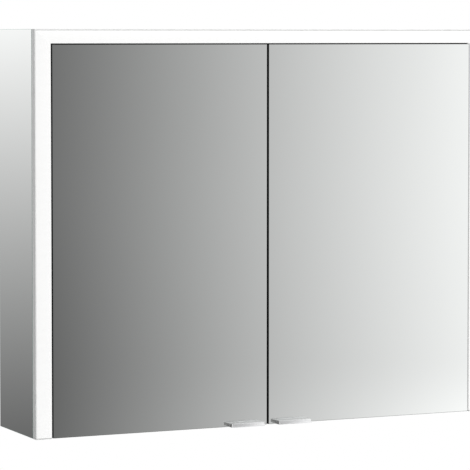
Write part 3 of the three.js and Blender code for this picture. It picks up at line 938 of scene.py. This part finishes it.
@dataclass
class LightBand:
    """The mitred aluminium profile, its opal diffusers and the boards of chips behind them."""

    outer_radius: float = 0.0005
    opal_radius: float = 0.0005
    lip: float = 0.0016
    web: float = 0.0022
    inner_wall: float = 0.0015
    clearance: float = 0.0003
    opal_leg: float = 0.0015
    leg_depth: float = 0.009
    opal_thickness: float = 0.0027
    chip_pitch: float = 0.0167
    chip_size: tuple[float, float, float] = (0.0028, 0.0006, 0.0035)
    chip_corner: float = 0.0004
    cap_corner: float = 0.0008
    cap_edge: float = 0.0003
    body: str = "case"
    side_width: float = field(init=False)
    top_width: float = field(init=False)

    def __post_init__(self) -> None:
        """Takes the band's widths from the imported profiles."""
        self.side_width = float(Box.of("frame_left").size[0])
        self.top_width = float(Box.of("frame_top").size[2])

    def build(self) -> None:
        """Makes the profile, the diffusers, the end caps and the light strips."""
        for side in Side:
            self.upright(side, self.profile(self.side_width), f"frame_{side.value}",
                         f"{side.value}_frame_profile", FRAME_UPRIGHT, FRAME_FRONT_PAINTED_LIGHT)
            self.upright(side, self.opal(self.side_width), f"diffuser_{side.value}",
                         f"{side.value}_opal_band", OPAL_UPRIGHT, OPAL_UPRIGHT)
            self.end_cap(side)
            self.strip(f"led_strip_{side.value}", f"{side.value}_chip_board", Axis.Z)
        self.level(self.profile(self.top_width), "frame_top", "top_frame_profile", FRAME_LEVEL, FRAME_FRONT_PAINTED_LIGHT,
                   "frame_aluminium")
        self.level(self.opal(self.top_width), "diffuser_top", "top_opal_band", OPAL_LEVEL, OPAL_LEVEL,
                   "opal_diffuser")
        self.strip("led_strip_top", "top_chip_board", Axis.X)

    def profile(self, width: float) -> Array:
        """The aluminium section (u inward from the outer face, v back from the front)."""
        depth = self.box_depth
        ledge, shelf = self.opal_thickness + self.clearance, self.leg_depth + self.clearance
        wall = width - self.opal_leg - self.clearance
        section = np.array([[0, 0], [self.lip, 0], [self.lip, depth - self.web],
                            [wall - self.inner_wall, depth - self.web], [wall - self.inner_wall, ledge],
                            [wall, ledge], [wall, shelf], [width, shelf], [width, depth], [0, depth]])
        return filleted(section, self.outer_radius, 3)

    @property
    def box_depth(self) -> float:
        """The profile's depth from front to back."""
        return float(Box.of("frame_top").size[1])

    def opal(self, width: float) -> Array:
        """The diffuser's section: a flat front with a leg behind its inner edge, and eased edges."""
        lip, leg = self.lip + self.clearance, width - self.opal_leg
        section = np.array([[lip, 0], [width, 0], [width, self.leg_depth], [leg, self.leg_depth],
                            [leg, self.opal_thickness], [lip, self.opal_thickness]])
        return filleted(section, self.opal_radius, 4)

    def upright(self, side: Side, section: Array, node: str, name: str, finish: Finish, lip: Finish) -> None:
        """A side bar, cut on the mitre at its top, with a lighter copy of its aluminium painted as highlight
        on the faces to the front and back.
        """
        box = Box.of(node)
        outer = Box.of(f"frame_{side.value}")
        slope = self.top_width / self.side_width
        top = Box.of("frame_top").high[2] - self.clearance / 2
        bar = swept(section, np.full(len(section), box.low[2]), top - section[:, 0] * slope, Axis.Z,
                    (np.array([-side.sign, 0, 0]), np.array([0, 1, 0])))
        bar.points += np.array([outer.edge(side.sign), outer.low[1], 0])
        # Faces looking along Y take the second finish, the lighter copy of the aluminium: painted highlight.
        make_piece(name, bar.zoned_where(Axis.Y, FACING, 1), (finish, lip), self.body, (node,))

    def level(self, section: Array, node: str, name: str, finish: Finish, lip: Finish, slot: str) -> None:
        """The top bar, cut on the mitre at both ends, with a lighter copy of its aluminium painted as
        highlight on the faces to the front and back.
        """
        outer = Box.of("frame_top")
        slope = self.side_width / self.top_width
        half = Box.of("frame_right").high[0] - self.clearance / 2
        reach = half - section[:, 0] * slope
        bar = swept(section, -reach, reach, Axis.X, (np.array([0, 0, -1]), np.array([0, 1, 0])))
        bar.points += np.array([0, outer.low[1], outer.high[2]])
        # Faces looking along Y take the second finish, the lighter copy of the aluminium: painted highlight.
        make_piece(name, bar.zoned_where(Axis.Y, FACING, 1), (finish, lip), self.body, (node,))

    def end_cap(self, side: Side) -> None:
        """The cap that closes the foot of a side profile."""
        box = Box.of(f"end_cap_{side.value}")
        shape = filleted(box.outline(Axis.Z), self.cap_corner, 4)
        cap = slab(shape, box.size[2], lying(box.low[2]), self.cap_edge, 2)
        make_piece(f"{side.value}_profile_cap", cap, (FRAME_LEVEL,), self.body,
                   (f"end_cap_{side.value}",))

    def strip(self, node: str, name: str, run: Axis) -> None:
        """A board with a row of light chips on it."""
        box = Box.of(node)
        shape = box.outline(Axis.Y)
        chip_rise = self.chip_size[1]
        board = slab(shape, box.size[1] - chip_rise, facing_front(box.low[1] + chip_rise), FINE_EDGE, 1)
        length = box.size[run.value] - self.chip_pitch
        count = int(length / self.chip_pitch)
        shifts = row_of(count, self.chip_pitch, run)
        wide, _, tall = self.chip_size
        chip_shape = filleted(oblong(wide, tall), self.chip_corner, 2)
        place = rising((box.middle[0], box.low[1], box.middle[2]), Axis.Y)
        chip = slab(chip_shape, chip_rise, place, FINE_EDGE, 1, (1, 1, 1)).repeated(shifts)
        make_piece(name, Surface.joined([board, chip]), (CIRCUIT, PHOSPHOR), self.body, (node,))


# ---- Doors -----------------------------------------------------------------------------------


@dataclass
class MirrorDoor:
    """A door: a core board between two mirrors, with a tab handle and hinge cups."""

    side: Side
    notch_clearance: float = 0.0003
    handle_corner: float = 0.0016
    handle_edge: float = 0.0006
    gasket_thickness: float = 0.0004
    gasket_inset: float = 0.0006
    gasket_corner: float = 0.0012
    screw_spread: float = 0.019
    screw_size: tuple[float, float] = (0.0028, 0.0009)

    @property
    def body(self) -> str:
        """The moving body."""
        return f"{self.side.value}_door"

    def node(self, stem: str) -> str:
        """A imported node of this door."""
        return f"{stem}_{self.side.value}"

    def build(self) -> None:
        """Makes the door's pieces."""
        self.front_mirror()
        self.back_mirror()
        # The core takes the near-black finish that darkens the door gap: painted shade.
        dress(self.node("door_core"), CORE_PAINTED_SHADE)
        self.handle()
        self.handle_screws()

    def front_mirror(self) -> None:
        """The mirror that faces the room."""
        node = self.node("door_mirror_front")
        box = Box.of(node)
        # The rim takes the near-black finish that darkens the door gap: painted shade.
        make_mirror(f"{self.side.value}_door_mirror", node, box.outline(Axis.Y),
                    facing_front(box.low[1]), DOOR_EDGE_PAINTED_SHADE, self.body)

    def back_mirror(self) -> None:
        """The mirror inside, notched at its outer edge for the hinge cups."""
        node = self.node("door_mirror_back")
        box = Box.of(node)
        sign = self.side.sign
        outer, inner = sorted((box.low[0] * sign, box.high[0] * sign), reverse=True)
        cups = [Box.of(f"hinge_cup_{self.side.value}_{level.value}") for level in Level]
        deep = min(cups[0].low[0] * sign, cups[0].high[0] * sign) - self.notch_clearance
        corners = [[inner, box.low[2]], [outer, box.low[2]]]
        for cup in cups:
            low, high = cup.low[2] - self.notch_clearance, cup.high[2] + self.notch_clearance
            corners += [[outer, low], [deep, low], [deep, high], [outer, high]]
        corners += [[outer, box.high[2]], [inner, box.high[2]]]
        # The rim takes the near-black finish that darkens the door gap: painted shade.
        make_mirror(f"{self.side.value}_door_inner_mirror", node, np.array(corners) * [sign, 1],
                    rising((0, box.high[1], 0), Axis.Y, -1.0), DOOR_EDGE_PAINTED_SHADE, self.body)

    def handle(self) -> None:
        """The tab handle, with its end faces painted darker as shade, and a thin gasket between it and the
        glass.
        """
        box = Box.of(self.node("handle"))
        root, tip = box.high[1] - self.gasket_thickness, box.low[1]
        c = self.handle_corner
        soft = filleted(rectangle(box.low[0], box.high[0], tip, root + 2 * c), c, 6)
        soft[:, 1] = np.minimum(soft[:, 1], root)
        keep = np.ones(len(soft), dtype=bool)
        keep[1:] = np.linalg.norm(np.diff(soft, axis=0), axis=1) > 1e-7
        tab = slab(soft[keep], box.size[2], lying(box.low[2]), self.handle_edge, 4)
        # Faces looking along X, the two ends, take the darker copy of the handle metal: painted shade.
        make_piece(f"{self.side.value}_tab_handle", tab.zoned_where(Axis.X, FACING, 1),
                   (HANDLE_METAL, HANDLE_END_PAINTED_SHADE), self.body, (self.node("handle"),))
        g = self.gasket_inset
        shape = filleted(rectangle(box.low[0] + g, box.high[0] - g, box.low[2] + g, box.high[2] - g),
                         self.gasket_corner, 4)
        pad = slab(shape, self.gasket_thickness, facing_front(root), FINE_EDGE, 1)
        make_piece(f"{self.side.value}_handle_gasket", pad, (GREY_PLASTIC,), self.body)

    def handle_screws(self) -> None:
        """Two screw heads on the inner mirror that hold the handle."""
        handle = Box.of(self.node("handle")).middle
        glass = Box.of(self.node("door_mirror_back")).high[1]
        spots = [(handle[0] + offset, glass, handle[2]) for offset in (-self.screw_spread, self.screw_spread)]
        make_screws(f"{self.side.value}_handle_screws", spots, Axis.Y, 1.0, self.screw_size, self.body)


# ---- Hinges ----------------------------------------------------------------------------------


@dataclass
class Hinge:
    """One concealed hinge: gooseneck arm on the case, cup and pin in the door."""

    side: Side
    level: Level
    foot_thickness: float = 0.002
    screws_from_end: tuple[float, float] = (0.007, 0.022)
    screw_size: tuple[float, float] = (0.003, 0.0016)

    def node(self, stem: str) -> str:
        """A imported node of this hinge."""
        return f"{stem}_{self.side.value}_{self.level.value}"

    def build(self) -> None:
        """Dresses the arm, cup and pin and adds the foot's screws."""
        dress(self.node("hinge_arm"), NICKEL)
        dress(self.node("hinge_cup"), NICKEL)
        dress(self.node("hinge_pin"), BRIGHT_STEEL)
        arm = Box.of(self.node("hinge_arm"))
        sign = self.side.sign
        face = arm.edge(sign) - sign * self.foot_thickness
        spots = [(face, arm.high[1] - back, arm.middle[2]) for back in self.screws_from_end]
        make_screws(f"{self.side.value}_{self.level.value}_hinge_screws", spots, Axis.X, -sign,
                    self.screw_size)


# ---- Shelves ---------------------------------------------------------------------------------


@dataclass
class Shelf:
    """A glass shelf on four pins."""

    level: Level
    corner: float = 0.002
    edge: float = 0.001

    def build(self) -> None:
        """Makes the glass and its pins."""
        box = Box.of(f"shelf_{self.level.value}")
        shape = filleted(box.outline(Axis.Z), self.corner, 5)
        glass = slab(shape, box.size[2], lying(box.low[2]), self.edge, 3, (0, 1, 0))
        make_piece(f"{self.level.value}_glass_shelf", glass, (SHELF_GLASS, GLASS_EDGE), "case",
                   (f"shelf_{self.level.value}",))
        for side in Side:
            for row in ("front", "rear"):
                self.pin(side, row)

    def pin(self, side: Side, row: str) -> None:
        """A turned pin: a peg in the side board, a collar and a soft-tipped barrel under the glass.

        The profile is given in shares of the pin's largest radius and of its length.
        """
        node = f"shelf_pin_{self.level.value}_{row}_{side.value}"
        box = Box.of(node)
        radius = box.size[2] / 2
        length = box.size[0]
        place = rising((box.edge(-side.sign), *box.middle[1:]), Axis.X, side.sign)
        shares = [[0, 0], [0.75, 0], [1, 0.25 * radius / length], [1, 0.36], [0.8, 0.39], [0.8, 0.42],
                  [1, 0.45], [1, 0.483], [0.69, 0.483], [0.69, 0.97], [0.5, 1], [0, 1]]
        pin = turned(np.array(shares) * [radius, length], place)
        make_piece(f"{self.level.value}_{row}_{side.value}_shelf_pin", pin, (NICKEL,), "case",
                   (node,))


# ---- Electrical housing ----------------------------------------------------------------------


@dataclass
class ElectricalHousing:
    """The white housing under the top board, with its vents and cable entry."""

    rib_size: tuple[float, float, float] = (0.002, 0.036, 0.0005)
    rib_pitch: float = 0.0065
    rib_count: int = 17
    rib_offset: float = -0.035
    screw_inset: float = 0.009
    screw_size: tuple[float, float] = (0.0026, 0.0009)
    nut_radius: float = 0.0105
    nut_bore: float = 0.00715
    nut_height: float = 0.0014
    nut_ease: float = 0.0003
    nut_steps: int = 48
    body: str = "case"

    def build(self) -> None:
        """Dresses the housing and its contents and adds its small parts."""
        dress("driver_housing", WHITE_PLASTIC)
        dress("led_driver", GREY_PLASTIC)
        dress("terminal_block", WHITE_PLASTIC)
        dress("cable_gland", GREY_PLASTIC)
        self.vent_ribs()
        self.cover_screws()
        self.gland_nut()

    def vent_ribs(self) -> None:
        """A row of raised ribs under the driver."""
        box = Box.of("driver_housing")
        wide, long, high = self.rib_size
        shape = filleted(oblong(wide, long), wide * 0.45, 4)
        place = rising((self.rib_offset, box.middle[1], box.low[2]), Axis.Z, -1.0)
        shifts = row_of(self.rib_count, self.rib_pitch, Axis.X)
        ribs = slab(shape, high, place, SOFT_EDGE, 2).repeated(shifts)
        make_piece("housing_vent_ribs", ribs, (WHITE_PLASTIC,), self.body)

    def cover_screws(self) -> None:
        """Four screws in the corners of the housing's underside."""
        box = Box.of("driver_housing")
        reach = box.size / 2 - self.screw_inset
        corners = oblong(2 * reach[0], 2 * reach[1]) + box.middle[:2]
        spots = [(*corner, box.low[2]) for corner in corners]
        make_screws("housing_cover_screws", spots, Axis.Z, -1.0, self.screw_size)

    def gland_nut(self) -> None:
        """A hexagonal ring nut on the gland, behind the rear panel.

        The outer radius at angle t is R cos(30) / cos(t' - 30), with t' the angle past the last corner.
        """
        box = Box.of("cable_gland")
        panel = Box.of("rear_panel").high[1]
        angle = np.linspace(0, 2 * math.pi, self.nut_steps, endpoint=False)
        sector = np.mod(angle, math.pi / 3) - math.pi / 6
        outer = self.nut_radius * math.cos(math.pi / 6) / np.cos(sector)
        inner = np.full_like(outer, self.nut_bore)
        place = rising((box.middle[0], panel, box.middle[2]), Axis.Y)
        turn = np.stack([np.cos(angle), np.sin(angle)], axis=1)
        ease, top = self.nut_ease, self.nut_height
        section = ((outer - ease, 0.0), (outer, ease), (outer, top - ease), (outer - ease, top),
                   (inner + ease, top), (inner, top - ease), (inner, 0.0))
        rings = np.stack([place.points(turn * radius[:, None], height) for radius, height in section])
        make_piece("gland_ring_nut", lofted(rings, capped=False), (GREY_PLASTIC,), self.body)


@dataclass
class RockerSwitch:
    """The light switch: a black bezel and a white rocker with a bar and a ring on its two ends."""

    half_length: float = 0.0111
    end_rise: float = 0.002
    middle_rise: float = 0.0009
    tilt: float = 10.0
    bar: tuple[float, float] = (0.0007, 0.004)
    ring_radii: tuple[float, float] = (0.0015, 0.0021)
    ink_height: float = 0.0002
    ink_edge: float = 0.00005

    def build(self) -> None:
        """Dresses the switch and adds the marks."""
        dress("switch_body", BLACK_PLASTIC)
        dress("switch_rocker", ROCKER_PLASTIC)
        bar = slab(oblong(*self.bar), self.ink_height, self.wing(-1.0), self.ink_edge, 1)
        inner, outer = self.ring_radii
        section = np.array([[outer, 0], [outer, self.ink_height], [inner, self.ink_height], [inner, 0]])
        ring = turned(section, self.wing(1.0), 32, hollow=True)
        make_piece("rocker_marks", Surface.joined([bar, ring]), (MARK_INK,), "light_switch")

    def wing(self, sign: float) -> Place:
        """The middle of one sloping half of the rocker's face, turned by the rocker's tilt."""
        switch = Box.of("switch_body")
        pivot = np.array([switch.middle[0], switch.low[1], switch.middle[2]])
        slope = np.array([self.half_length, -sign * (self.end_rise - self.middle_rise), 0])
        slope /= np.linalg.norm(slope)
        normal = np.array([slope[1], -slope[0], 0])
        spot = np.array([sign * self.half_length / 2, -(self.end_rise + self.middle_rise) / 2, 0])
        c, s = math.cos(math.radians(self.tilt)), math.sin(math.radians(self.tilt))
        turn = np.array([[c, -s, 0], [s, c, 0], [0, 0, 1]])
        return Place(pivot + turn @ spot, turn @ slope, (0, 0, 1), turn @ normal)


# ---- Hanging gear ----------------------------------------------------------------------------


@dataclass
class HangingGear:
    """The wall rail, the hooks on the rear panel, the panel's screws and the door bumpers."""

    sheet: float = 0.002
    rail_upstand: float = 0.014
    rail_bend: float = 0.003
    hook_lip: float = 0.010
    hook_bend: float = 0.0012
    rail_screws: int = 6
    rail_screw_reach: float = 0.45
    rail_screw_rise: float = 0.012
    washer: tuple[float, float] = (0.0065, 0.0012)
    rail_screw_size: tuple[float, float] = (0.0045, 0.0022)
    hook_screw_places: tuple[float, float] = (-0.013, 0.013)
    hook_screw_rise: float = 0.010
    hook_screw_size: tuple[float, float] = (0.0034, 0.0018)
    panel_screw_size: tuple[float, float] = (0.003, 0.0012)
    panel_screws: tuple[int, int] = (5, 4)
    panel_inset: float = 0.010
    body: str = "case"

    def build(self) -> None:
        """Makes the rail, hooks, screws and bumpers."""
        self.rail()
        self.panel_fixings()
        for side in Side:
            self.hook(side)
            self.bumper(side)

    def bent(self, path: Array, radius: float, x0: float, x1: float) -> Surface:
        """Bent sheet along a path (y, z), running from x0 to x1."""
        section = thickened(filleted(path, radius, 5, closed=False), self.sheet)
        place = facing_side(x0, -1.0)
        return slab(section, x1 - x0, place, SOFT_EDGE, 1)

    def rail(self) -> None:
        """The joggled wall rail and the screws through its foot."""
        box, half = Box.of("wall_rail"), self.sheet / 2
        back, front = box.high[1] - half, box.low[1] + half
        bend = box.high[2] - self.rail_upstand
        path = np.array([[back, box.low[2]], [back, bend - (back - front)], [front, bend],
                         [front, box.high[2]]])
        rail = self.bent(path, self.rail_bend, box.low[0], box.high[0])
        make_piece("joggled_wall_rail", rail, (ZINC,), self.body, ("wall_rail",))
        spread = np.linspace(-1, 1, self.rail_screws) * self.rail_screw_reach * box.size[0]
        shifts = np.stack([spread, np.zeros_like(spread), np.zeros_like(spread)], axis=1)
        face, rise = box.high[1] - self.sheet, box.low[2] + self.rail_screw_rise
        r, h = self.washer
        profile = np.array([[0, 0], [r * 0.954, 0], [r, h * 0.25], [r, h * 0.75], [r * 0.923, h], [0, h]])
        washer = turned(profile, rising((0, face, rise), Axis.Y, -1.0))
        head = cross_head(rising((0, face - h, rise), Axis.Y, -1.0), *self.rail_screw_size)
        screws = Surface.joined([washer, head]).repeated(shifts)
        make_piece("wall_rail_screws", screws, (BRIGHT_STEEL,), self.body)

    def hook(self, side: Side) -> None:
        """A hook that hangs over the rail, with two screws in its plate."""
        box, half = Box.of(f"hanger_{side.value}"), self.sheet / 2
        plate, lip, web = box.low[1] + half, box.high[1] - half, box.high[2] - half
        path = np.array([[plate, box.low[2]], [plate, web], [lip, web], [lip, web - self.hook_lip]])
        hook = self.bent(path, self.hook_bend, box.low[0], box.high[0])
        make_piece(f"{side.value}_cabinet_hook", hook, (ZINC,), self.body,
                   (f"hanger_{side.value}",))
        face, rise = box.low[1] + self.sheet, box.low[2] + self.hook_screw_rise
        spots = [(box.middle[0] + offset, face, rise) for offset in self.hook_screw_places]
        make_screws(f"{side.value}_hook_screws", spots, Axis.Y, 1.0, self.hook_screw_size)

    def panel_fixings(self) -> None:
        """Screws round the edge of the rear panel, seen from behind."""
        box = Box.of("rear_panel")
        reach = (box.size / 2 - self.panel_inset)[[0, 2]]
        across, up = self.panel_screws
        level = np.linspace(-reach[0], reach[0], across)
        rise = np.linspace(-reach[1], reach[1], up)[1:-1]
        rows = [np.stack([level, np.full(across, edge)], axis=1) for edge in (-reach[1], reach[1])]
        rows += [np.stack([np.full(up - 2, edge), rise], axis=1) for edge in (-reach[0], reach[0])]
        x, y, z = box.middle[0], box.high[1], box.middle[2]
        spots = [(x + a, y, z + b) for a, b in np.vstack(rows)]
        make_screws("rear_panel_screws", spots, Axis.Y, 1.0, self.panel_screw_size)

    def bumper(self, side: Side) -> None:
        """A soft domed pad that the door closes against."""
        box = Box.of(f"bumper_{side.value}")
        r, h = box.size[0] / 2, box.size[1]
        profile = np.array([[0, 0], [r * 0.96, 0], [r, h * 0.15], [r, h * 0.4], [r * 0.94, h * 0.65],
                            [r * 0.8, h * 0.83], [r * 0.5, h * 0.96], [0, h]])
        place = rising((box.middle[0], box.high[1], box.middle[2]), Axis.Y, -1.0)
        make_piece(f"{side.value}_door_bumper", turned(profile, place), (SOFT_CLEAR,), self.body,
                   (f"bumper_{side.value}",))


# ---- Studio ----------------------------------------------------------------------------------


@dataclass
class Studio:
    """Camera, soft light, a pale floor and the soft surroundings that the mirrors show."""

    lens: float = 205.44
    sensor: float = 36.0
    distance: float = 4.3898
    azimuth: float = 24.928
    below_top: float = 0.0111
    yaw: float = 24.639
    pitch: float = 2.939
    shift: float = -0.13
    wave_rate: float = 7.5
    wave_centre: float = 27.6
    wave_middle: float = 0.699
    wave_swing: float = 0.681
    wave_limits: tuple[float, float] = (0.1, 1.15)
    front_dim: float = 0.035
    near_dim: tuple[float, float] = (0.05, 0.14)
    low_dim: tuple[float, float] = (0.15, 0.6)
    low_dimming: float = 0.1
    glow_rise: tuple[float, float] = (0.118, 0.15)
    glow_fade: tuple[float, float] = (0.2, 0.5)
    glow_gain: float = 0.2
    ceiling: tuple[float, float] = (0.2, 0.9)
    ceiling_gain: float = 0.15
    rear_fall: float = 0.1437
    rear_limits: tuple[float, float] = (-0.35, 1.2)
    rear_curve: tuple[float, float, float] = (0.884, -1.054, 0.32)
    rear_left: tuple[float, float] = (0.1, 0.35)
    rear_left_rise: tuple[float, float] = (0.01, 0.3)
    rear_left_dimming: float = 0.6
    rear_low: tuple[float, float] = (0.17, 0.5)
    rear_low_gain: float = 0.45
    turn_to_wall: tuple[float, float] = (0.35, 0.7)
    mirror_share: float = 0.9
    ambient: float = 0.5
    floor_drop: float = 0.25
    floor_radius: float = 0.9
    floor_rings: int = 12
    floor_steps: int = 64
    lamp_target: tuple[float, float, float] = (0.0, -0.08, -0.24)

    def build(self, bounds: Box) -> None:
        """Makes the whole studio round the cabinet."""
        self.camera(bounds)
        self.world()
        self.lights()
        self.floor(bounds)
        bpy.context.scene.view_settings.view_transform = "Standard"

    def camera(self, bounds: Box) -> None:
        """The camera, level with the cabinet's top edge and to its left."""
        data = bpy.data.cameras.new("camera")
        data.lens, data.sensor_width, data.shift_y = self.lens, self.sensor, self.shift
        data.clip_start, data.clip_end = 0.05, 60.0
        camera = bpy.data.objects.new("camera", data)
        angle = math.radians(self.azimuth)
        stand = bounds.middle[:2] - self.distance * np.array([math.sin(angle), math.cos(angle)])
        camera.location = (*stand, float(bounds.high[2]) - self.below_top)
        camera.rotation_euler = (math.radians(90 - self.pitch), 0, math.radians(-self.yaw))
        bpy.context.scene.collection.objects.link(camera)
        bpy.context.scene.camera = camera

    def world(self) -> None:
        """Surroundings for the mirrors, by direction (x, y, z) from the cabinet.

        Round the front half the brightness is a wave in the bearing, so that a mirror shows a
        soft change from dark to light. Towards the wall it is brightest at the horizon and falls
        off below it. Matt pieces are lit evenly, and the camera itself sees plain white.
        """
        world = bpy.data.worlds.new("surroundings")
        world.use_nodes = True
        bpy.context.scene.world = world
        graph = Graph(world.node_tree)
        where = graph.node("ShaderNodeTexCoord")
        split = graph.node("ShaderNodeSeparateXYZ", None, {0: where.outputs["Generated"]})
        x, y, z = (Number(graph, split.outputs[i]) for i in range(3))
        below = 0.0 - z
        phase = (x.angle_from(0.0 - y) - math.radians(self.wave_centre)) * self.wave_rate
        wave = (phase.sine() * self.wave_swing + self.wave_middle).clamped(*self.wave_limits)
        dim = below.smooth(*self.near_dim) * self.front_dim + below.smooth(*self.low_dim) * self.low_dimming
        band = below.smooth(*self.glow_rise) * (1.0 - below.smooth(*self.glow_fade))
        glow = band * wave * wave * self.glow_gain
        front = wave - dim + glow + z.smooth(*self.ceiling) * self.ceiling_gain
        fall = (below / self.rear_fall).clamped(*self.rear_limits)
        left = (0.0 - x).smooth(*self.rear_left) * z.smooth(*self.rear_left_rise) * self.rear_left_dimming
        level, slope, bend = self.rear_curve
        lit = below.smooth(*self.rear_low) * self.rear_low_gain
        rear = fall * (fall * bend + slope) + level - left + lit
        behind = y.smooth(*self.turn_to_wall)
        light = (front * (1.0 - behind) + rear * behind) / self.mirror_share
        path = graph.node("ShaderNodeLightPath")
        seen = Number(graph, path.outputs["Is Camera Ray"])
        soft = Number(graph, path.outputs["Is Diffuse Ray"])
        strength = light * (1.0 - seen) * (1.0 - soft) + soft * self.ambient + seen
        back = graph.node("ShaderNodeBackground", None, {"Color": (1, 1, 1, 1), "Strength": strength})
        graph.node("ShaderNodeOutputWorld", None, {"Surface": back.outputs[0]})

    def lights(self) -> None:
        """Soft lamps that light the matt pieces and stay out of the mirrors."""
        lamps = (("front_lamp", (1.2, -3.0, 1.4), 2.2, 46.0), ("top_lamp", (0.2, -0.4, 2.6), 1.8, 26.0),
                 ("rear_lamp", (-0.6, 3.0, 1.2), 2.4, 34.0))
        for name, spot, size, power in lamps:
            data = bpy.data.lights.new(name, "AREA")
            data.size, data.energy = size, power
            lamp = bpy.data.objects.new(name, data)
            lamp.location = spot
            aim = np.array(self.lamp_target) - np.array(spot)
            tilt, turn = math.acos(-aim[2] / np.linalg.norm(aim)), math.atan2(aim[1], aim[0])
            lamp.rotation_euler = (tilt, 0, turn - math.pi / 2)
            lamp.visible_glossy = False
            lamp.visible_camera = False
            bpy.context.scene.collection.objects.link(lamp)

    def floor(self, bounds: Box) -> None:
        """A round pale floor below the cabinet."""
        z = float(bounds.low[2]) - self.floor_drop
        rows = np.linspace(0.01, 1.0, self.floor_rings) * self.floor_radius
        rings = np.stack([lying(z).points(circle(r, self.floor_steps), 0.0) for r in rows])
        disc = Surface(rings.reshape(-1, 3), lofted(rings).groups[:2], [])
        mesh = bpy.data.meshes.new("pale_floor")
        faces = [row.tolist() for group in disc.groups for row in group]
        mesh.from_pydata(disc.points.tolist(), [], faces)
        mesh.materials.append(STAGE.material())
        floor = bpy.data.objects.new("pale_floor", mesh)
        bpy.context.scene.collection.objects.link(floor)
        floor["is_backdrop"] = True


def main() -> None:
    """Builds the studio and every sub-assembly."""
    logging.basicConfig(level=logging.INFO, format="%(name)s: %(message)s")
    low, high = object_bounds()
    packed = Box(np.array(low), np.array(high))
    Studio().build(packed)
    Case().build()
    LightBand().build()
    for side in Side:
        MirrorDoor(side).build()
        for level in Level:
            Hinge(side, level).build()
    for level in Level:
        Shelf(level).build()
    ElectricalHousing().build()
    RockerSwitch().build()
    HangingGear().build()


if __name__ == "__main__":
    main()
